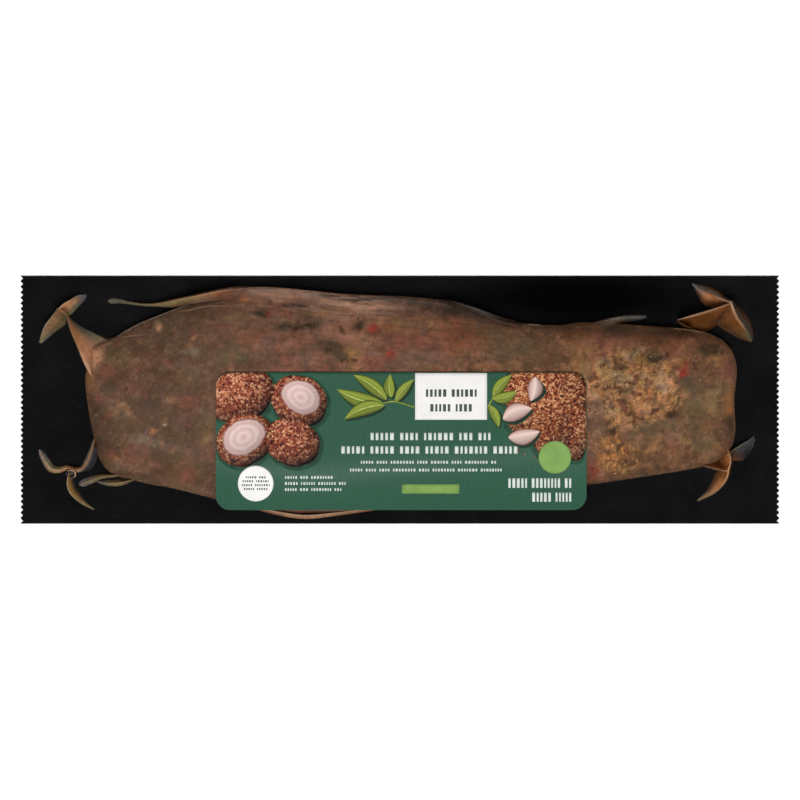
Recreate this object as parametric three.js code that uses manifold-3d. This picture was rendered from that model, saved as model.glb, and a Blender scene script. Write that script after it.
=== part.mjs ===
/*
 * A raw pork tenderloin with a dry herb rub, sealed flat in a vacuum pack.
 *
 * A clear formed film is drawn tight over the meat and heat-sealed to a black backing web, whose
 * short ends are cut with zig-zag knives. Where the corners of the formed film collapse they stand
 * up as pinched, star-shaped folds with a little juice caught in them. A label with rounded corners
 * lies over the front half of the meat and runs out past its lower edge.
 *
 * Millimetres, +Z up. The pack lies on its backing: X runs along the pack, Y across it, and the
 * origin is the middle of the underside.
 */
import * as THREE from "three";
import { mergeVertices } from "three/addons/utils/BufferGeometryUtils.js";
import Module from "manifold-3d";

const wasm = await Module();
wasm.setup();

// The pack
const PACK_LENGTH = 350; // from tooth tip to tooth tip
const PACK_WIDTH = 114.3;
const WEB_THICKNESS = 0.5; // the black web and the clear film's flange, sealed together
const TOOTH_COUNT = 45; // zig-zag teeth across each short end
const TOOTH_DEPTH = 1.3;

// The meat inside its tight film
const SHOULDER = 30; // how far in from its edge the meat goes on rising
const SHOULDER_POWER = 3; // higher makes the sides steeper and the top flatter
const RIM_HEIGHT = 1; // upright foot of the film where it meets the web
const ROOT = 0.4; // how far the film's parts reach below the web's top before they are trimmed there
const THICKNESS = [
  [-146, 15.6],
  [-118, 19.2],
  [-75, 23],
  [-20, 24.4],
  [30, 23.6],
  [66, 21.2],
  [92, 22],
  [124, 21],
  [156, 17.4],
]; // x along the pack, height of the meat there

// The label
const LABEL_LENGTH = 171;
const LABEL_WIDTH = 63.5;
const LABEL_CENTRE = [0.6, -19.1];
const LABEL_CORNER = 6.6;
const LABEL_THICKNESS = 0.3;
const LABEL_GAP = 0.55; // between the film under it and the label
const LABEL_LEAVES = 13; // distance from the meat's edge where the stiff label stops following it
const LABEL_DROOP = 0.006; // how fast the free part of the label bends down
const LABEL_CELLS = [30, 12];

// The meat's outline seen from above, in four runs that share their end points
const UPPER_EDGE = [
  [-142.2, 24.4],
  [-134.8, 27.0],
  [-125.4, 33.1],
  [-103.7, 42.3],
  [-89.9, 47.4],
  [-77.4, 51.2],
  [-64.0, 52.5],
  [-25.3, 49.2],
  [13.9, 47.0],
  [30.0, 43.6],
  [47.0, 37.2],
  [73.4, 34.7],
  [83.0, 36.0],
  [115.3, 34.3],
  [141.0, 31.6],
  [149.0, 28.0],
];
const RIGHT_EDGE = [
  [149.0, 28.0],
  [153.4, 22.8],
  [155.5, 15.0],
  [154.4, 0.0],
  [154.8, -15.6],
  [152.9, -22.6],
  [148.6, -27.7],
];
const LOWER_EDGE = [
  [-136.8, -30.9],
  [-132.6, -34.4],
  [-124.0, -36.8],
  [-101.4, -41.8],
  [-79.3, -47.6],
  [-62.2, -50.9],
  [-43.8, -52.6],
  [0.0, -49.6],
  [50.8, -44.2],
  [109.3, -36.2],
  [141.0, -30.7],
  [148.6, -27.7],
];
const LEFT_EDGE = [
  [-136.8, -30.9],
  [-140.2, -24.6],
  [-141.7, -16.7],
  [-145.3, 5.9],
  [-144.8, 14.9],
  [-142.2, 24.4],
];

// Broad humps and hollows of the meat: x, y, reach along x and y, height
const SWELLS = [
  [-96, -4, 34, 24, 0.9],
  [-38, 30, 30, 12, 0.8],
  [-8, 4, 44, 22, 0.5],
  [44, 20, 20, 12, -0.7],
  [75, 6, 7, 30, -1.6],
  [112, 4, 22, 18, 1.0],
  [136, -18, 14, 12, 0.7],
];

// The patch of thick rub at the right end, whose grains press the film up
const RUB_PATCH = { x: 113, y: 1, reachX: 33, reachY: 25 };
const RUB_LUMPS = 130;
const RUB_LUMP_HEIGHT = [0.45, 1.15];
const RUB_LUMP_REACH = [1.6, 3.1];

// The surface grid: finer cells by the edges, where the film curves down, and over the rub patch
const COLUMNS = 92;
const ROWS = 34;
const EDGE_CROWDING = 2.6; // how much closer the lines lie at an edge
const EDGE_REACH_ALONG = 0.013; // how far in that lasts, as a share of the length
const EDGE_REACH_ACROSS = 0.05; // and of the width
const PATCH_CROWDING = 1.1;
const PATCH_STARTS = [0.7, 0.76]; // shares of the length over which the rub patch begins
const TRACE_STEPS = 60; // points along each run when distances to the outline are measured
const FINE_STEPS = 400; // points along a run from which the grid's edge picks its own

const clamp = (value, low, high) => Math.min(high, Math.max(low, value));
const mix = (a, b, share) => a + (b - a) * share;
const smoothStep = (low, high, value) => THREE.MathUtils.smoothstep(value, low, high);

/** Repeatable draws between 0 and 1, by the mulberry32 rule. */
function seededDraws(seed) {
  let state = seed;
  return () => {
    state = (state + 0x6d2b79f5) | 0;
    let t = Math.imul(state ^ (state >>> 15), 1 | state);
    t = (t + Math.imul(t ^ (t >>> 7), 61 | t)) ^ t;
    return ((t ^ (t >>> 14)) >>> 0) / 4294967296;
  };
}

/** A closed three.js geometry as a solid. */
function solidOf(geometry) {
  const bare = geometry.clone();
  bare.deleteAttribute("normal");
  bare.deleteAttribute("uv");
  const merged = mergeVertices(bare, 1e-4);
  return new wasm.Manifold(
    new wasm.Mesh({
      numProp: 3,
      vertProperties: merged.attributes.position.array,
      triVerts: new Uint32Array(merged.index.array),
    }),
  );
}

/** A solid as a named mesh. */
function meshOf(solid, name, material) {
  const { vertProperties, triVerts } = solid.getMesh();
  const geometry = new THREE.BufferGeometry();
  geometry.setAttribute("position", new THREE.BufferAttribute(vertProperties, 3));
  geometry.setIndex(new THREE.BufferAttribute(triVerts, 1));
  geometry.computeVertexNormals();
  const mesh = new THREE.Mesh(geometry, material);
  mesh.name = name;
  return mesh;
}

/** An indexed geometry from points and triangles. */
function geometryOf(points, triangles) {
  const geometry = new THREE.BufferGeometry();
  geometry.setAttribute("position", new THREE.Float32BufferAttribute(points.flat(), 3));
  geometry.setIndex(triangles.flat());
  return geometry;
}

/** Points evenly spread along a smooth line through the given ones. */
function smoothLine(points, steps) {
  const curve = new THREE.CatmullRomCurve3(
    points.map(([x, y, z = 0]) => new THREE.Vector3(x, y, z)),
    false,
    "centripetal",
  );
  return curve.getSpacedPoints(steps).map((p) => [p.x, p.y, p.z]);
}

/** Shares from 0 to 1 that lie closer together where crowding is high. */
function graded(count, crowding) {
  const sums = [0];
  for (let i = 0; i < FINE_STEPS; i++) {
    sums.push(sums[i] + crowding((i + 0.5) / FINE_STEPS));
  }
  const shares = [];
  let at = 0;
  for (let i = 0; i <= count; i++) {
    const wanted = (sums[FINE_STEPS] * i) / count;
    while (at < FINE_STEPS - 1 && sums[at + 1] < wanted) at++;
    const share = (at + (wanted - sums[at]) / (sums[at + 1] - sums[at])) / FINE_STEPS;
    shares.push(clamp(share, 0, 1));
  }
  return shares;
}

// Backing web

/** The pack's flat outline, with zig-zag ends. */
function packOutline() {
  const half = PACK_LENGTH / 2;
  const pitch = PACK_WIDTH / TOOTH_COUNT;
  const zigzag = (side) => {
    const points = [];
    for (let i = 0; i <= 2 * TOOTH_COUNT; i++) {
      const inset = i % 2 ? TOOTH_DEPTH : 0;
      points.push(new THREE.Vector2(side * (half - inset), -PACK_WIDTH / 2 + (i * pitch) / 2));
    }
    return points;
  };
  return new THREE.Shape([...zigzag(1), ...zigzag(-1).reverse()]);
}

/** The black web, flat on the ground. */
function backingWeb() {
  const sheet = new THREE.ExtrudeGeometry(packOutline(), {
    depth: WEB_THICKNESS,
    bevelEnabled: false,
  });
  return solidOf(sheet);
}

// Meat in its film

const outline = [
  ...smoothLine(UPPER_EDGE, TRACE_STEPS).reverse().slice(0, -1),
  ...smoothLine(LEFT_EDGE, TRACE_STEPS).reverse().slice(0, -1),
  ...smoothLine(LOWER_EDGE, TRACE_STEPS).slice(0, -1),
  ...smoothLine(RIGHT_EDGE, TRACE_STEPS).reverse().slice(0, -1),
];

/** Distance from the meat's outline, positive inside it. */
function depthInside(x, y) {
  let nearest = Infinity;
  let inside = false;
  for (let i = 0, j = outline.length - 1; i < outline.length; j = i++) {
    const [ax, ay] = outline[j];
    const [bx, by] = outline[i];
    const dx = bx - ax;
    const dy = by - ay;
    const share = clamp(((x - ax) * dx + (y - ay) * dy) / (dx * dx + dy * dy), 0, 1);
    nearest = Math.min(nearest, Math.hypot(x - ax - share * dx, y - ay - share * dy));
    if (ay > y !== by > y && x < ax + ((y - ay) / dy) * dx) inside = !inside;
  }
  return inside ? nearest : -nearest;
}

const thicknessLine = smoothLine(THICKNESS, 2 * TRACE_STEPS);

/** The meat's full height at a place along the pack. */
function thicknessAt(x) {
  const next = thicknessLine.findIndex(([station]) => station >= x);
  if (next === -1) return thicknessLine.at(-1)[1];
  if (next === 0) return thicknessLine[0][1];
  const [[ax, low], [bx, high]] = [thicknessLine[next - 1], thicknessLine[next]];
  return mix(low, high, (x - ax) / (bx - ax));
}

/** Share of the full height reached at a distance inside the outline. */
function shoulder(depth) {
  const left = 1 - clamp(depth / SHOULDER, 0, 1);
  return Math.sqrt(1 - left ** SHOULDER_POWER);
}

/** The broad humps and hollows at a point. */
function swell(x, y) {
  return SWELLS.reduce(
    (sum, [cx, cy, rx, ry, height]) =>
      sum + height * Math.exp(-(((x - cx) / rx) ** 2) - ((y - cy) / ry) ** 2),
    0,
  );
}

/** Height of the smooth meat above the ground at a point, from its distance inside the outline. */
function smoothTop(x, y, depth) {
  const rise = (thicknessAt(x) + swell(x, y) - RIM_HEIGHT) * shoulder(depth);
  return WEB_THICKNESS + RIM_HEIGHT + rise;
}

/** How far a point lies outside the label, 0 on it. */
function offLabel(x, y) {
  const dx = Math.abs(x - LABEL_CENTRE[0]) - LABEL_LENGTH / 2;
  const dy = Math.abs(y - LABEL_CENTRE[1]) - LABEL_WIDTH / 2;
  return Math.hypot(Math.max(dx, 0), Math.max(dy, 0));
}

/** The lumps of rub: x, y, reach, height, spread over the patch with a seeded draw. */
function rubLumps() {
  const draw = seededDraws(7);
  const lumps = [];
  while (lumps.length < RUB_LUMPS) {
    const angle = 2 * Math.PI * draw();
    const out = Math.sqrt(draw());
    const x = RUB_PATCH.x + RUB_PATCH.reachX * out * Math.cos(angle);
    const y = RUB_PATCH.y + RUB_PATCH.reachY * out * Math.sin(angle);
    const fade = 1 - 0.5 * out;
    const height = mix(...RUB_LUMP_HEIGHT, draw()) * fade;
    lumps.push([x, y, mix(...RUB_LUMP_REACH, draw()), height]);
  }
  return lumps;
}

const lumps = rubLumps();

/** Height that the grains of rub add at a point. */
function rubRelief(x, y, depth) {
  const clear = smoothStep(1.5, 5, offLabel(x, y)) * smoothStep(2, 9, depth);
  if (clear === 0) return 0;
  return lumps.reduce((top, [cx, cy, reach, height]) => {
    const near = Math.exp(-((x - cx) ** 2 + (y - cy) ** 2) / reach ** 2);
    return Math.max(top, clear * height * near);
  }, 0);
}

/** The meat as one closed surface: a grid stretched between the four edges, a foot and a flat base. */
function meatSolid() {
  const nearEdges = (share, reach) =>
    1 + EDGE_CROWDING * (Math.exp(-share / reach) + Math.exp((share - 1) / reach));
  const along = graded(
    COLUMNS,
    (u) => nearEdges(u, EDGE_REACH_ALONG) + PATCH_CROWDING * smoothStep(...PATCH_STARTS, u),
  );
  const across = graded(ROWS, (v) => nearEdges(v, EDGE_REACH_ACROSS));
  const pick = (points, shares) => {
    const fine = smoothLine(points, FINE_STEPS);
    return shares.map((share) => fine[Math.round(share * FINE_STEPS)]);
  };
  const upper = pick(UPPER_EDGE, along);
  const lower = pick(LOWER_EDGE, along);
  const left = pick(LEFT_EDGE, across);
  const right = pick([...RIGHT_EDGE].reverse(), across);
  const points = [];
  const index = (column, row) => column * (ROWS + 1) + row;
  along.forEach((u, column) => {
    across.forEach((v, row) => {
      const [x, y] = [0, 1].map(
        (k) =>
          mix(lower[column][k], upper[column][k], v) +
          mix(left[row][k], right[row][k], u) -
          mix(mix(lower[0][k], upper[0][k], v), mix(lower.at(-1)[k], upper.at(-1)[k], v), u),
      );
      const onEdge = column % COLUMNS === 0 || row % ROWS === 0;
      const depth = onEdge ? 0 : Math.max(0, depthInside(x, y));
      points.push([x, y, smoothTop(x, y, depth) + rubRelief(x, y, depth)]);
    });
  });
  const triangles = [];
  for (let column = 0; column < COLUMNS; column++) {
    for (let row = 0; row < ROWS; row++) {
      const [a, b] = [index(column, row), index(column + 1, row)];
      triangles.push([a, b, b + 1], [a, b + 1, a + 1]);
    }
  }
  const rim = [];
  for (let column = 0; column < COLUMNS; column++) rim.push(index(column, 0));
  for (let row = 0; row < ROWS; row++) rim.push(index(COLUMNS, row));
  for (let column = COLUMNS; column > 0; column--) rim.push(index(column, ROWS));
  for (let row = ROWS; row > 0; row--) rim.push(index(0, row));
  const foot = points.length;
  rim.forEach((i) => points.push([points[i][0], points[i][1], WEB_THICKNESS - ROOT]));
  rim.forEach((top, i) => {
    const next = (i + 1) % rim.length;
    triangles.push([foot + i, foot + next, rim[next]], [foot + i, rim[next], top]);
  });
  const contour = rim.map((i) => new THREE.Vector2(points[i][0], points[i][1]));
  THREE.ShapeUtils.triangulateShape(contour, []).forEach(([a, b, c]) => {
    triangles.push([foot + c, foot + b, foot + a]);
  });
  return solidOf(geometryOf(points, triangles));
}

// Film folds

/** A closed body through rings of points; a fan from each end ring's second point closes it. */
function loft(rings) {
  const size = rings[0].length;
  const points = rings.flat();
  const triangles = [];
  for (let ring = 0; ring < rings.length - 1; ring++) {
    for (let i = 0; i < size; i++) {
      const next = (i + 1) % size;
      const [a, b] = [ring * size, (ring + 1) * size];
      triangles.push([a + i, a + next, b + next], [a + i, b + next, b + i]);
    }
  }
  const last = (rings.length - 1) * size;
  for (let i = 2; i < size; i++) {
    const next = (i + 1) % size;
    triangles.push([1, next, i], [last + 1, last + i, last + next]);
  }
  const solid = solidOf(geometryOf(points, triangles));
  if (solid.volume() > 0) return solid;
  return solidOf(geometryOf(points, triangles.map(([a, b, c]) => [a, c, b])));
}

const FOLD_STEPS = 9;
const FOLD_SAG = 0.16; // hollow of a fold's faces, as a share of its height

/** A fold with a crest [x, y, height] between the feet of its front and back faces. */
function tent(crest, front, back) {
  const [tops, fronts, backs] = [crest, front, back].map((line) => smoothLine(line, FOLD_STEPS));
  const rings = tops.map(([x, y, height], i) => {
    const face = ([fx, fy], share) => [
      mix(fx, x, share),
      mix(fy, y, share),
      WEB_THICKNESS + mix(-ROOT, height, share) - 4 * FOLD_SAG * height * share * (1 - share),
    ];
    return [
      face(fronts[i], 0),
      face(fronts[i], 0.5),
      face(fronts[i], 1),
      face(backs[i], 0.5),
      face(backs[i], 0),
    ];
  });
  return loft(rings);
}

/** A line moved sideways in plan, to the left of its direction if the distance is positive. */
function beside(line, distance) {
  return line.map(([x, y], i) => {
    const [ax, ay] = line[Math.max(i - 1, 0)];
    const [bx, by] = line[Math.min(i + 1, line.length - 1)];
    const length = Math.hypot(bx - ax, by - ay);
    const width = Array.isArray(distance) ? distance[i] : distance;
    return [x - ((by - ay) / length) * width, y + ((bx - ax) / length) * width];
  });
}

/** A narrow upright fold along a line of [x, y, height, width]. */
function crease(line) {
  const halves = line.map(([, , , width]) => width / 2);
  return tent(
    line.map(([x, y, height]) => [x, y, height]),
    beside(line, halves),
    beside(line, halves.map((half) => -half)),
  );
}

/** The star at the upper left corner: two wings off a peak, and a sail back to the meat. */
function upperLeftStar() {
  const peakHeight = 9;
  const wingRight = [
    [-157.6, 41.8, peakHeight],
    [-155.2, 44.2, 8],
    [-151.6, 46.3, 6],
    [-148.4, 48.1, 3.4],
    [-144.6, 48.4, 0.5],
  ];
  const wingDown = [
    [-157.6, 42.4, peakHeight],
    [-159.4, 39.9, 8.2],
    [-161.7, 37.0, 6.8],
    [-163.8, 34.1, 5],
    [-165.2, 30.5, 2.8],
    [-166.2, 26.4, 0.5],
  ];
  const sail = [
    [-157.9, 42.0, peakHeight],
    [-154.8, 40.7, 9.2],
    [-151.7, 31.7, 9.6],
    [-148.9, 25.1, 9.8],
    [-145.6, 17.0, 9.6],
    [-142.2, 10.6, 8.4],
  ];
  return [
    tent(
      wingRight,
      [[-153.6, 38.4], [-151.4, 39.4], [-148.2, 42.9], [-145.8, 45.4], [-144.4, 47.6]],
      beside(wingRight, 0.4),
    ),
    tent(
      wingDown,
      [[-153.6, 40.3], [-153.8, 35.2], [-158.2, 31.7], [-161.7, 28.8], [-165.3, 25.9]],
      beside(wingDown, -0.4),
    ),
    tent(
      sail,
      [[-155.0, 42.2], [-151.4, 37.4], [-147.6, 34.2], [-140.7, 30.8], [-133.8, 26.6], [-134.0, 21.0]],
      beside(sail, -0.5),
    ),
  ];
}

/** The lower left corner: a thin winding fold, its curl, and two creases tucked under the meat. */
function lowerLeftStar() {
  const winding = [
    [-166.0, -23.2, 0.5, 1.6],
    [-164.0, -27.2, 3, 3.4],
    [-161.2, -31.0, 4.4, 3.8],
    [-157.4, -32.1, 5.4, 2.8],
    [-153.5, -32.0, 6.2, 2.2],
    [-149.6, -33.2, 6.6, 2.0],
    [-146.8, -32.0, 7, 2.0],
    [-144.0, -28.0, 7.6, 2.0],
    [-141.4, -21.4, 8, 1.8],
    [-139.4, -17.4, 7.2, 1.6],
  ];
  const tail = [
    [-152.6, -32.6, 6.6],
    [-153.6, -38.0, 6.2],
    [-152.7, -42.1, 4.8],
    [-150.2, -45.3, 3.2],
    [-146.0, -48.4, 1.8],
    [-141.1, -50.7, 0.5],
  ];
  const curlHeight = 6.4;
  const curl = new THREE.CylinderGeometry(1.7, 2.1, curlHeight, 14).rotateX(Math.PI / 2);
  curl.translate(-151.8, -34.9, WEB_THICKNESS + curlHeight / 2 - ROOT);
  return [
    crease(winding),
    solidOf(curl),
    tent(
      tail,
      [[-150.4, -33.0], [-150.0, -38.6], [-147.5, -43.7], [-143.6, -47.9], [-140.8, -50.0]],
      beside(tail, -0.4),
    ),
    crease([
      [-147.0, -38.8, 0.8, 3.2],
      [-143.2, -37.5, 2.4, 3.4],
      [-137.6, -35.5, 4.6, 2.4],
      [-130.9, -34.6, 6, 2.0],
      [-127.0, -33.4, 6, 2.0],
    ]),
    crease([
      [-139.4, -37.8, 0.5, 1.2],
      [-134.0, -38.5, 3.2, 2.6],
      [-128.1, -38.2, 4.6, 2.6],
      [-122.0, -36.2, 5.4, 2.2],
    ]),
  ];
}

/** The big star at the upper right corner. */
function upperRightStar() {
  const peakHeight = 11.5;
  const sail = [
    [153.4, 45.0, peakHeight],
    [146.6, 42.6, 12],
    [140.2, 40.6, 12.6],
    [133.8, 38.7, 13.4],
    [127.9, 36.8, 14],
  ];
  return [
    tent(
      [
        [153.2, 44.8, peakHeight],
        [147.8, 46.8, 10],
        [144.5, 48.5, 8],
        [140.0, 50.4, 5],
        [134.6, 53.6, 0.5],
      ],
      [[150.6, 42.0], [145.4, 43.4], [140.6, 45.3], [138.0, 49.0], [134.6, 53.0]],
      [[154.0, 45.4], [149.8, 47.6], [147.4, 49.8], [142.0, 52.4], [135.4, 54.1]],
    ),
    tent(
      [
        [152.6, 45.6, peakHeight],
        [155.5, 38.4, 9],
        [158.7, 33.6, 6],
        [160.4, 30.7, 4],
        [162.3, 27.0, 0.5],
      ],
      [[148.6, 42.4], [148.6, 35.4], [152.7, 31.0], [156.8, 28.5], [161.8, 26.5]],
      [[153.6, 46.0], [157.1, 42.0], [160.4, 37.5], [162.3, 32.3], [162.9, 27.8]],
    ),
    tent(
      sail,
      [[152.0, 40.0], [147.0, 35.6], [141.0, 31.0], [134.0, 28.6], [127.2, 30.0]],
      beside(sail, -0.5),
    ),
  ];
}

/** The lower right corner: a puckered web against the meat and two wings off it. */
function lowerRightStar() {
  const pucker = [
    [151.2, -22.8, 7.6],
    [152.5, -26.0, 8.2],
    [152.5, -29.6, 8.4],
    [151.2, -32.8, 8.6],
    [145.7, -31.9, 8.4],
    [139.8, -30.2, 7.4],
  ];
  const wingRight = [
    [150.8, -24.8, 7.6],
    [156.0, -21.5, 5.6],
    [160.7, -18.6, 3],
    [163.2, -16.8, 0.5],
  ];
  return [
    tent(
      pucker,
      [[147.0, -22.0], [148.0, -25.0], [148.0, -27.0], [147.2, -28.2], [144.4, -28.2], [140.6, -27.8]],
      beside(pucker, 0.6),
    ),
    tent(
      wingRight,
      [[153.4, -28.0], [158.2, -28.0], [162.0, -23.8], [163.9, -18.6]],
      beside(wingRight, 0.4),
    ),
    tent(
      [
        [151.9, -30.6, 8.8],
        [151.1, -35.6, 7.6],
        [148.7, -39.5, 5.6],
        [145.3, -42.7, 3.6],
        [141.1, -45.0, 1.9],
        [137.2, -46.5, 0.5],
      ],
      [[147.4, -30.6], [144.8, -35.1], [143.4, -38.3], [141.3, -41.8], [137.0, -46.0]],
      [[153.2, -29.8], [152.0, -35.2], [150.1, -38.9], [147.4, -41.8], [143.9, -44.1], [137.6, -46.9]],
    ),
  ];
}

/** The loose creases along the meat's long edges. */
function edgeCreases() {
  return [
    crease([
      [-134.6, 45.3, 1.2, 2.0],
      [-125.4, 44.9, 3, 2.3],
      [-116.1, 43.6, 4.6, 2.4],
      [-104.0, 45.2, 7.5, 4.4],
      [-92.0, 47.6, 10.5, 5.0],
      [-79.0, 50.2, 13, 4.2],
      [-66.0, 50.0, 14.5, 3.0],
    ]),
    crease([
      [16.0, 46.2, 12, 1.6],
      [27.0, 45.6, 9, 2.0],
      [36.4, 42.6, 6.4, 1.9],
      [44.6, 39.2, 4.6, 1.7],
      [53.0, 36.0, 3.4, 1.4],
    ]),
    crease([
      [90.0, 33.4, 8, 1.6],
      [98.0, 35.9, 5.4, 2.6],
      [105.0, 37.4, 3.8, 3.0],
      [111.0, 38.3, 2.2, 1.8],
      [114.2, 38.0, 0.5, 0.8],
    ]),
    crease([
      [-70.0, -48.6, 9, 2.0],
      [-56.0, -51.6, 8, 3.4],
      [-43.8, -53.2, 7.4, 3.6],
      [-31.0, -52.2, 6.6, 3.0],
      [-6.0, -49.2, 5, 2.0],
    ]),
  ];
}

/** The meat with every fold of its film, cut flat where it lies on the web. */
function filmPocket() {
  const folds = [
    ...upperLeftStar(),
    ...lowerLeftStar(),
    ...upperRightStar(),
    ...lowerRightStar(),
    ...edgeCreases(),
  ];
  const joined = folds.reduce((whole, fold) => whole.add(fold), meatSolid());
  const under = new THREE.BoxGeometry(PACK_LENGTH, PACK_WIDTH, 2 * ROOT);
  under.translate(0, 0, WEB_THICKNESS - ROOT);
  return joined.subtract(solidOf(under));
}

// Label

/** Height of the label's underside: on the film, then straight on over the meat's edge. */
function labelUnderside(x, y) {
  const depth = depthInside(x, y);
  if (depth >= LABEL_LEAVES) return smoothTop(x, y, depth) + LABEL_GAP;
  const leaving = smoothTop(x, y, LABEL_LEAVES);
  const slope = (smoothTop(x, y, LABEL_LEAVES + 0.5) - leaving) / 0.5;
  const past = LABEL_LEAVES - depth;
  return leaving + LABEL_GAP - slope * past - LABEL_DROOP * past * past;
}

/** The label's rounded outline. */
function labelOutline() {
  const [halfX, halfY] = [LABEL_LENGTH / 2, LABEL_WIDTH / 2];
  const shape = new THREE.Shape();
  const corners = [[1, 1], [-1, 1], [-1, -1], [1, -1]];
  corners.forEach(([sx, sy], i) => {
    const x = LABEL_CENTRE[0] + sx * (halfX - LABEL_CORNER);
    const y = LABEL_CENTRE[1] + sy * (halfY - LABEL_CORNER);
    shape.absarc(x, y, LABEL_CORNER, (i * Math.PI) / 2, ((i + 1) * Math.PI) / 2, false);
  });
  return shape;
}

/** The label, draped and cut to its outline. */
function labelSolid() {
  const margin = 2; // trimmed off again by the outline
  const draped = new THREE.BoxGeometry(
    LABEL_LENGTH + 2 * margin,
    LABEL_WIDTH + 2 * margin,
    LABEL_THICKNESS,
    LABEL_CELLS[0],
    LABEL_CELLS[1],
  );
  draped.translate(LABEL_CENTRE[0], LABEL_CENTRE[1], LABEL_THICKNESS / 2);
  const position = draped.attributes.position;
  for (let i = 0; i < position.count; i++) {
    const underside = labelUnderside(position.getX(i), position.getY(i));
    position.setZ(i, position.getZ(i) + underside);
  }
  const cutter = new THREE.ExtrudeGeometry(labelOutline(), {
    depth: 2 * Math.max(...THICKNESS.map(([, height]) => height)),
    bevelEnabled: false,
    curveSegments: 5,
  });
  return solidOf(draped).intersect(solidOf(cutter));
}

const blackFilm = new THREE.MeshStandardMaterial({ color: 0x141416, roughness: 0.35, metalness: 0 });
const rubbedMeat = new THREE.MeshStandardMaterial({ color: 0x6e4d3d, roughness: 0.3, metalness: 0 });
const greenLabel = new THREE.MeshStandardMaterial({ color: 0x2f5b48, roughness: 0.45, metalness: 0 });

const pack = new THREE.Group();
pack.add(meshOf(backingWeb(), "backing_web", blackFilm));
pack.add(meshOf(filmPocket(), "tenderloin_in_film", rubbedMeat));
pack.add(meshOf(labelSolid(), "label", greenLabel));

export default pack;
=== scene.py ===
"""Visual model of a raw pork tenderloin with a dry herb rub, sealed flat in a vacuum pack.

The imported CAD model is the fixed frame. The black backing web keeps its CAD solid and gets a
finish. The solid of meat and film is replaced by the meat, the scattered rub, the tight clear
film over them and the film's pinched folds. The label is rebuilt as a finer draped sheet with
its print laid on it as thin fields of colour.

Shapes are worked out in millimetres and turned into metres when a mesh is made.
"""

import logging
import math
from dataclasses import dataclass, field
from enum import Enum
from typing import Sequence

import bpy
import numpy as np
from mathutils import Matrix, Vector


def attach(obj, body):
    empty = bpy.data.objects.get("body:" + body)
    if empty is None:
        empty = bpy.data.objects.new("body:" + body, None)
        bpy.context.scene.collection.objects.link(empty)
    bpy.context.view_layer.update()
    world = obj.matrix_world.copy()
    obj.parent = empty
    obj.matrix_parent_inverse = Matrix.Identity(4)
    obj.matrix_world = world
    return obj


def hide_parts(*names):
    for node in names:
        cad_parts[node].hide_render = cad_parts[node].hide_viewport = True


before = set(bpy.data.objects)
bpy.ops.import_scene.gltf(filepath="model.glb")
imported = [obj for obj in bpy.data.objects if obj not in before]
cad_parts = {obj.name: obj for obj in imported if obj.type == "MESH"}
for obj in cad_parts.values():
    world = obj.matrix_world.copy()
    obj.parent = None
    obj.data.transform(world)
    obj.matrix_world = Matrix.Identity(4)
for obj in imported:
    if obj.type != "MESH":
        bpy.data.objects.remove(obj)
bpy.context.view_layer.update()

log = logging.getLogger("tenderloin_pack")

MM = 0.001
WEB_TOP = 0.5
BODY = "root"
LIT = 0.7

Rgb = tuple[int, int, int]
Factors = tuple[float, float, float]
Socket = bpy.types.NodeSocket
Inputs = dict[int | str, object]
Covers = tuple[float, ...]
Line = Sequence[tuple[float, ...]]
Faces = Sequence[tuple[int, ...]]
Spot = tuple[float, float]
Box = tuple[float, float, float, float]


# Numbers and lines


def linear(colour: Sequence[float]) -> np.ndarray:
    """Screen colours from 0 to 255 as the linear ones that a surface needs in the studio's light."""
    share = np.clip(np.asarray(colour, float) / 255, 0, 1)
    return LIT * np.where(share <= 0.04045, share / 12.92, ((share + 0.055) / 1.055) ** 2.4)


def rgba(colour: Sequence[float]) -> tuple[float, float, float, float]:
    """A screen colour as a node's linear colour value."""
    red, green, blue = linear(colour)
    return (float(red), float(green), float(blue), 1.0)


def smooth_step(low: float, high: float, value: np.ndarray) -> np.ndarray:
    """0 below low, 1 above high, and a soft rise between."""
    share = np.clip((value - low) / (high - low), 0, 1)
    return share * share * (3 - 2 * share)


def smooth_line(points: Line, steps: int) -> np.ndarray:
    """Points evenly spread along a centripetal Catmull-Rom line.

    Args:
        points: the points that the line runs through, in the plane or in space.
        steps: how many equal stretches it is cut into.

    Returns:
        steps + 1 rows of x, y, z.
    """
    given = np.array([tuple(p) + (0.0,) * (3 - len(p)) for p in points], float)
    row = np.vstack([2 * given[0] - given[1], given, 2 * given[-1] - given[-2]])
    t = np.linspace(0, 1, 24, endpoint=False)[:, None]
    pieces = []
    for x0, x1, x2, x3 in zip(row, row[1:], row[2:], row[3:]):
        d0, d1, d2 = (math.sqrt(np.linalg.norm(b - a)) for a, b in ((x0, x1), (x1, x2), (x2, x3)))
        t1 = ((x1 - x0) / d0 - (x2 - x0) / (d0 + d1) + (x2 - x1) / d1) * d1
        t2 = ((x2 - x1) / d1 - (x3 - x1) / (d1 + d2) + (x3 - x2) / d2) * d1
        squared, cubed = -3 * x1 + 3 * x2 - 2 * t1 - t2, 2 * x1 - 2 * x2 + t1 + t2
        pieces.append(x1 + t1 * t + squared * t**2 + cubed * t**3)
    fine = np.vstack(pieces + [given[-1]])
    run = np.concatenate([[0], np.cumsum(np.linalg.norm(np.diff(fine, axis=0), axis=1))])
    wanted = np.linspace(0, run[-1], steps + 1)
    return np.column_stack([np.interp(wanted, run, fine[:, k]) for k in range(3)])


def along_line(line: np.ndarray, shares: np.ndarray) -> np.ndarray:
    """The points at shares of an evenly cut line's length."""
    at = np.linspace(0, 1, len(line))
    return np.column_stack([np.interp(shares, at, line[:, k]) for k in range(line.shape[1])])


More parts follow.
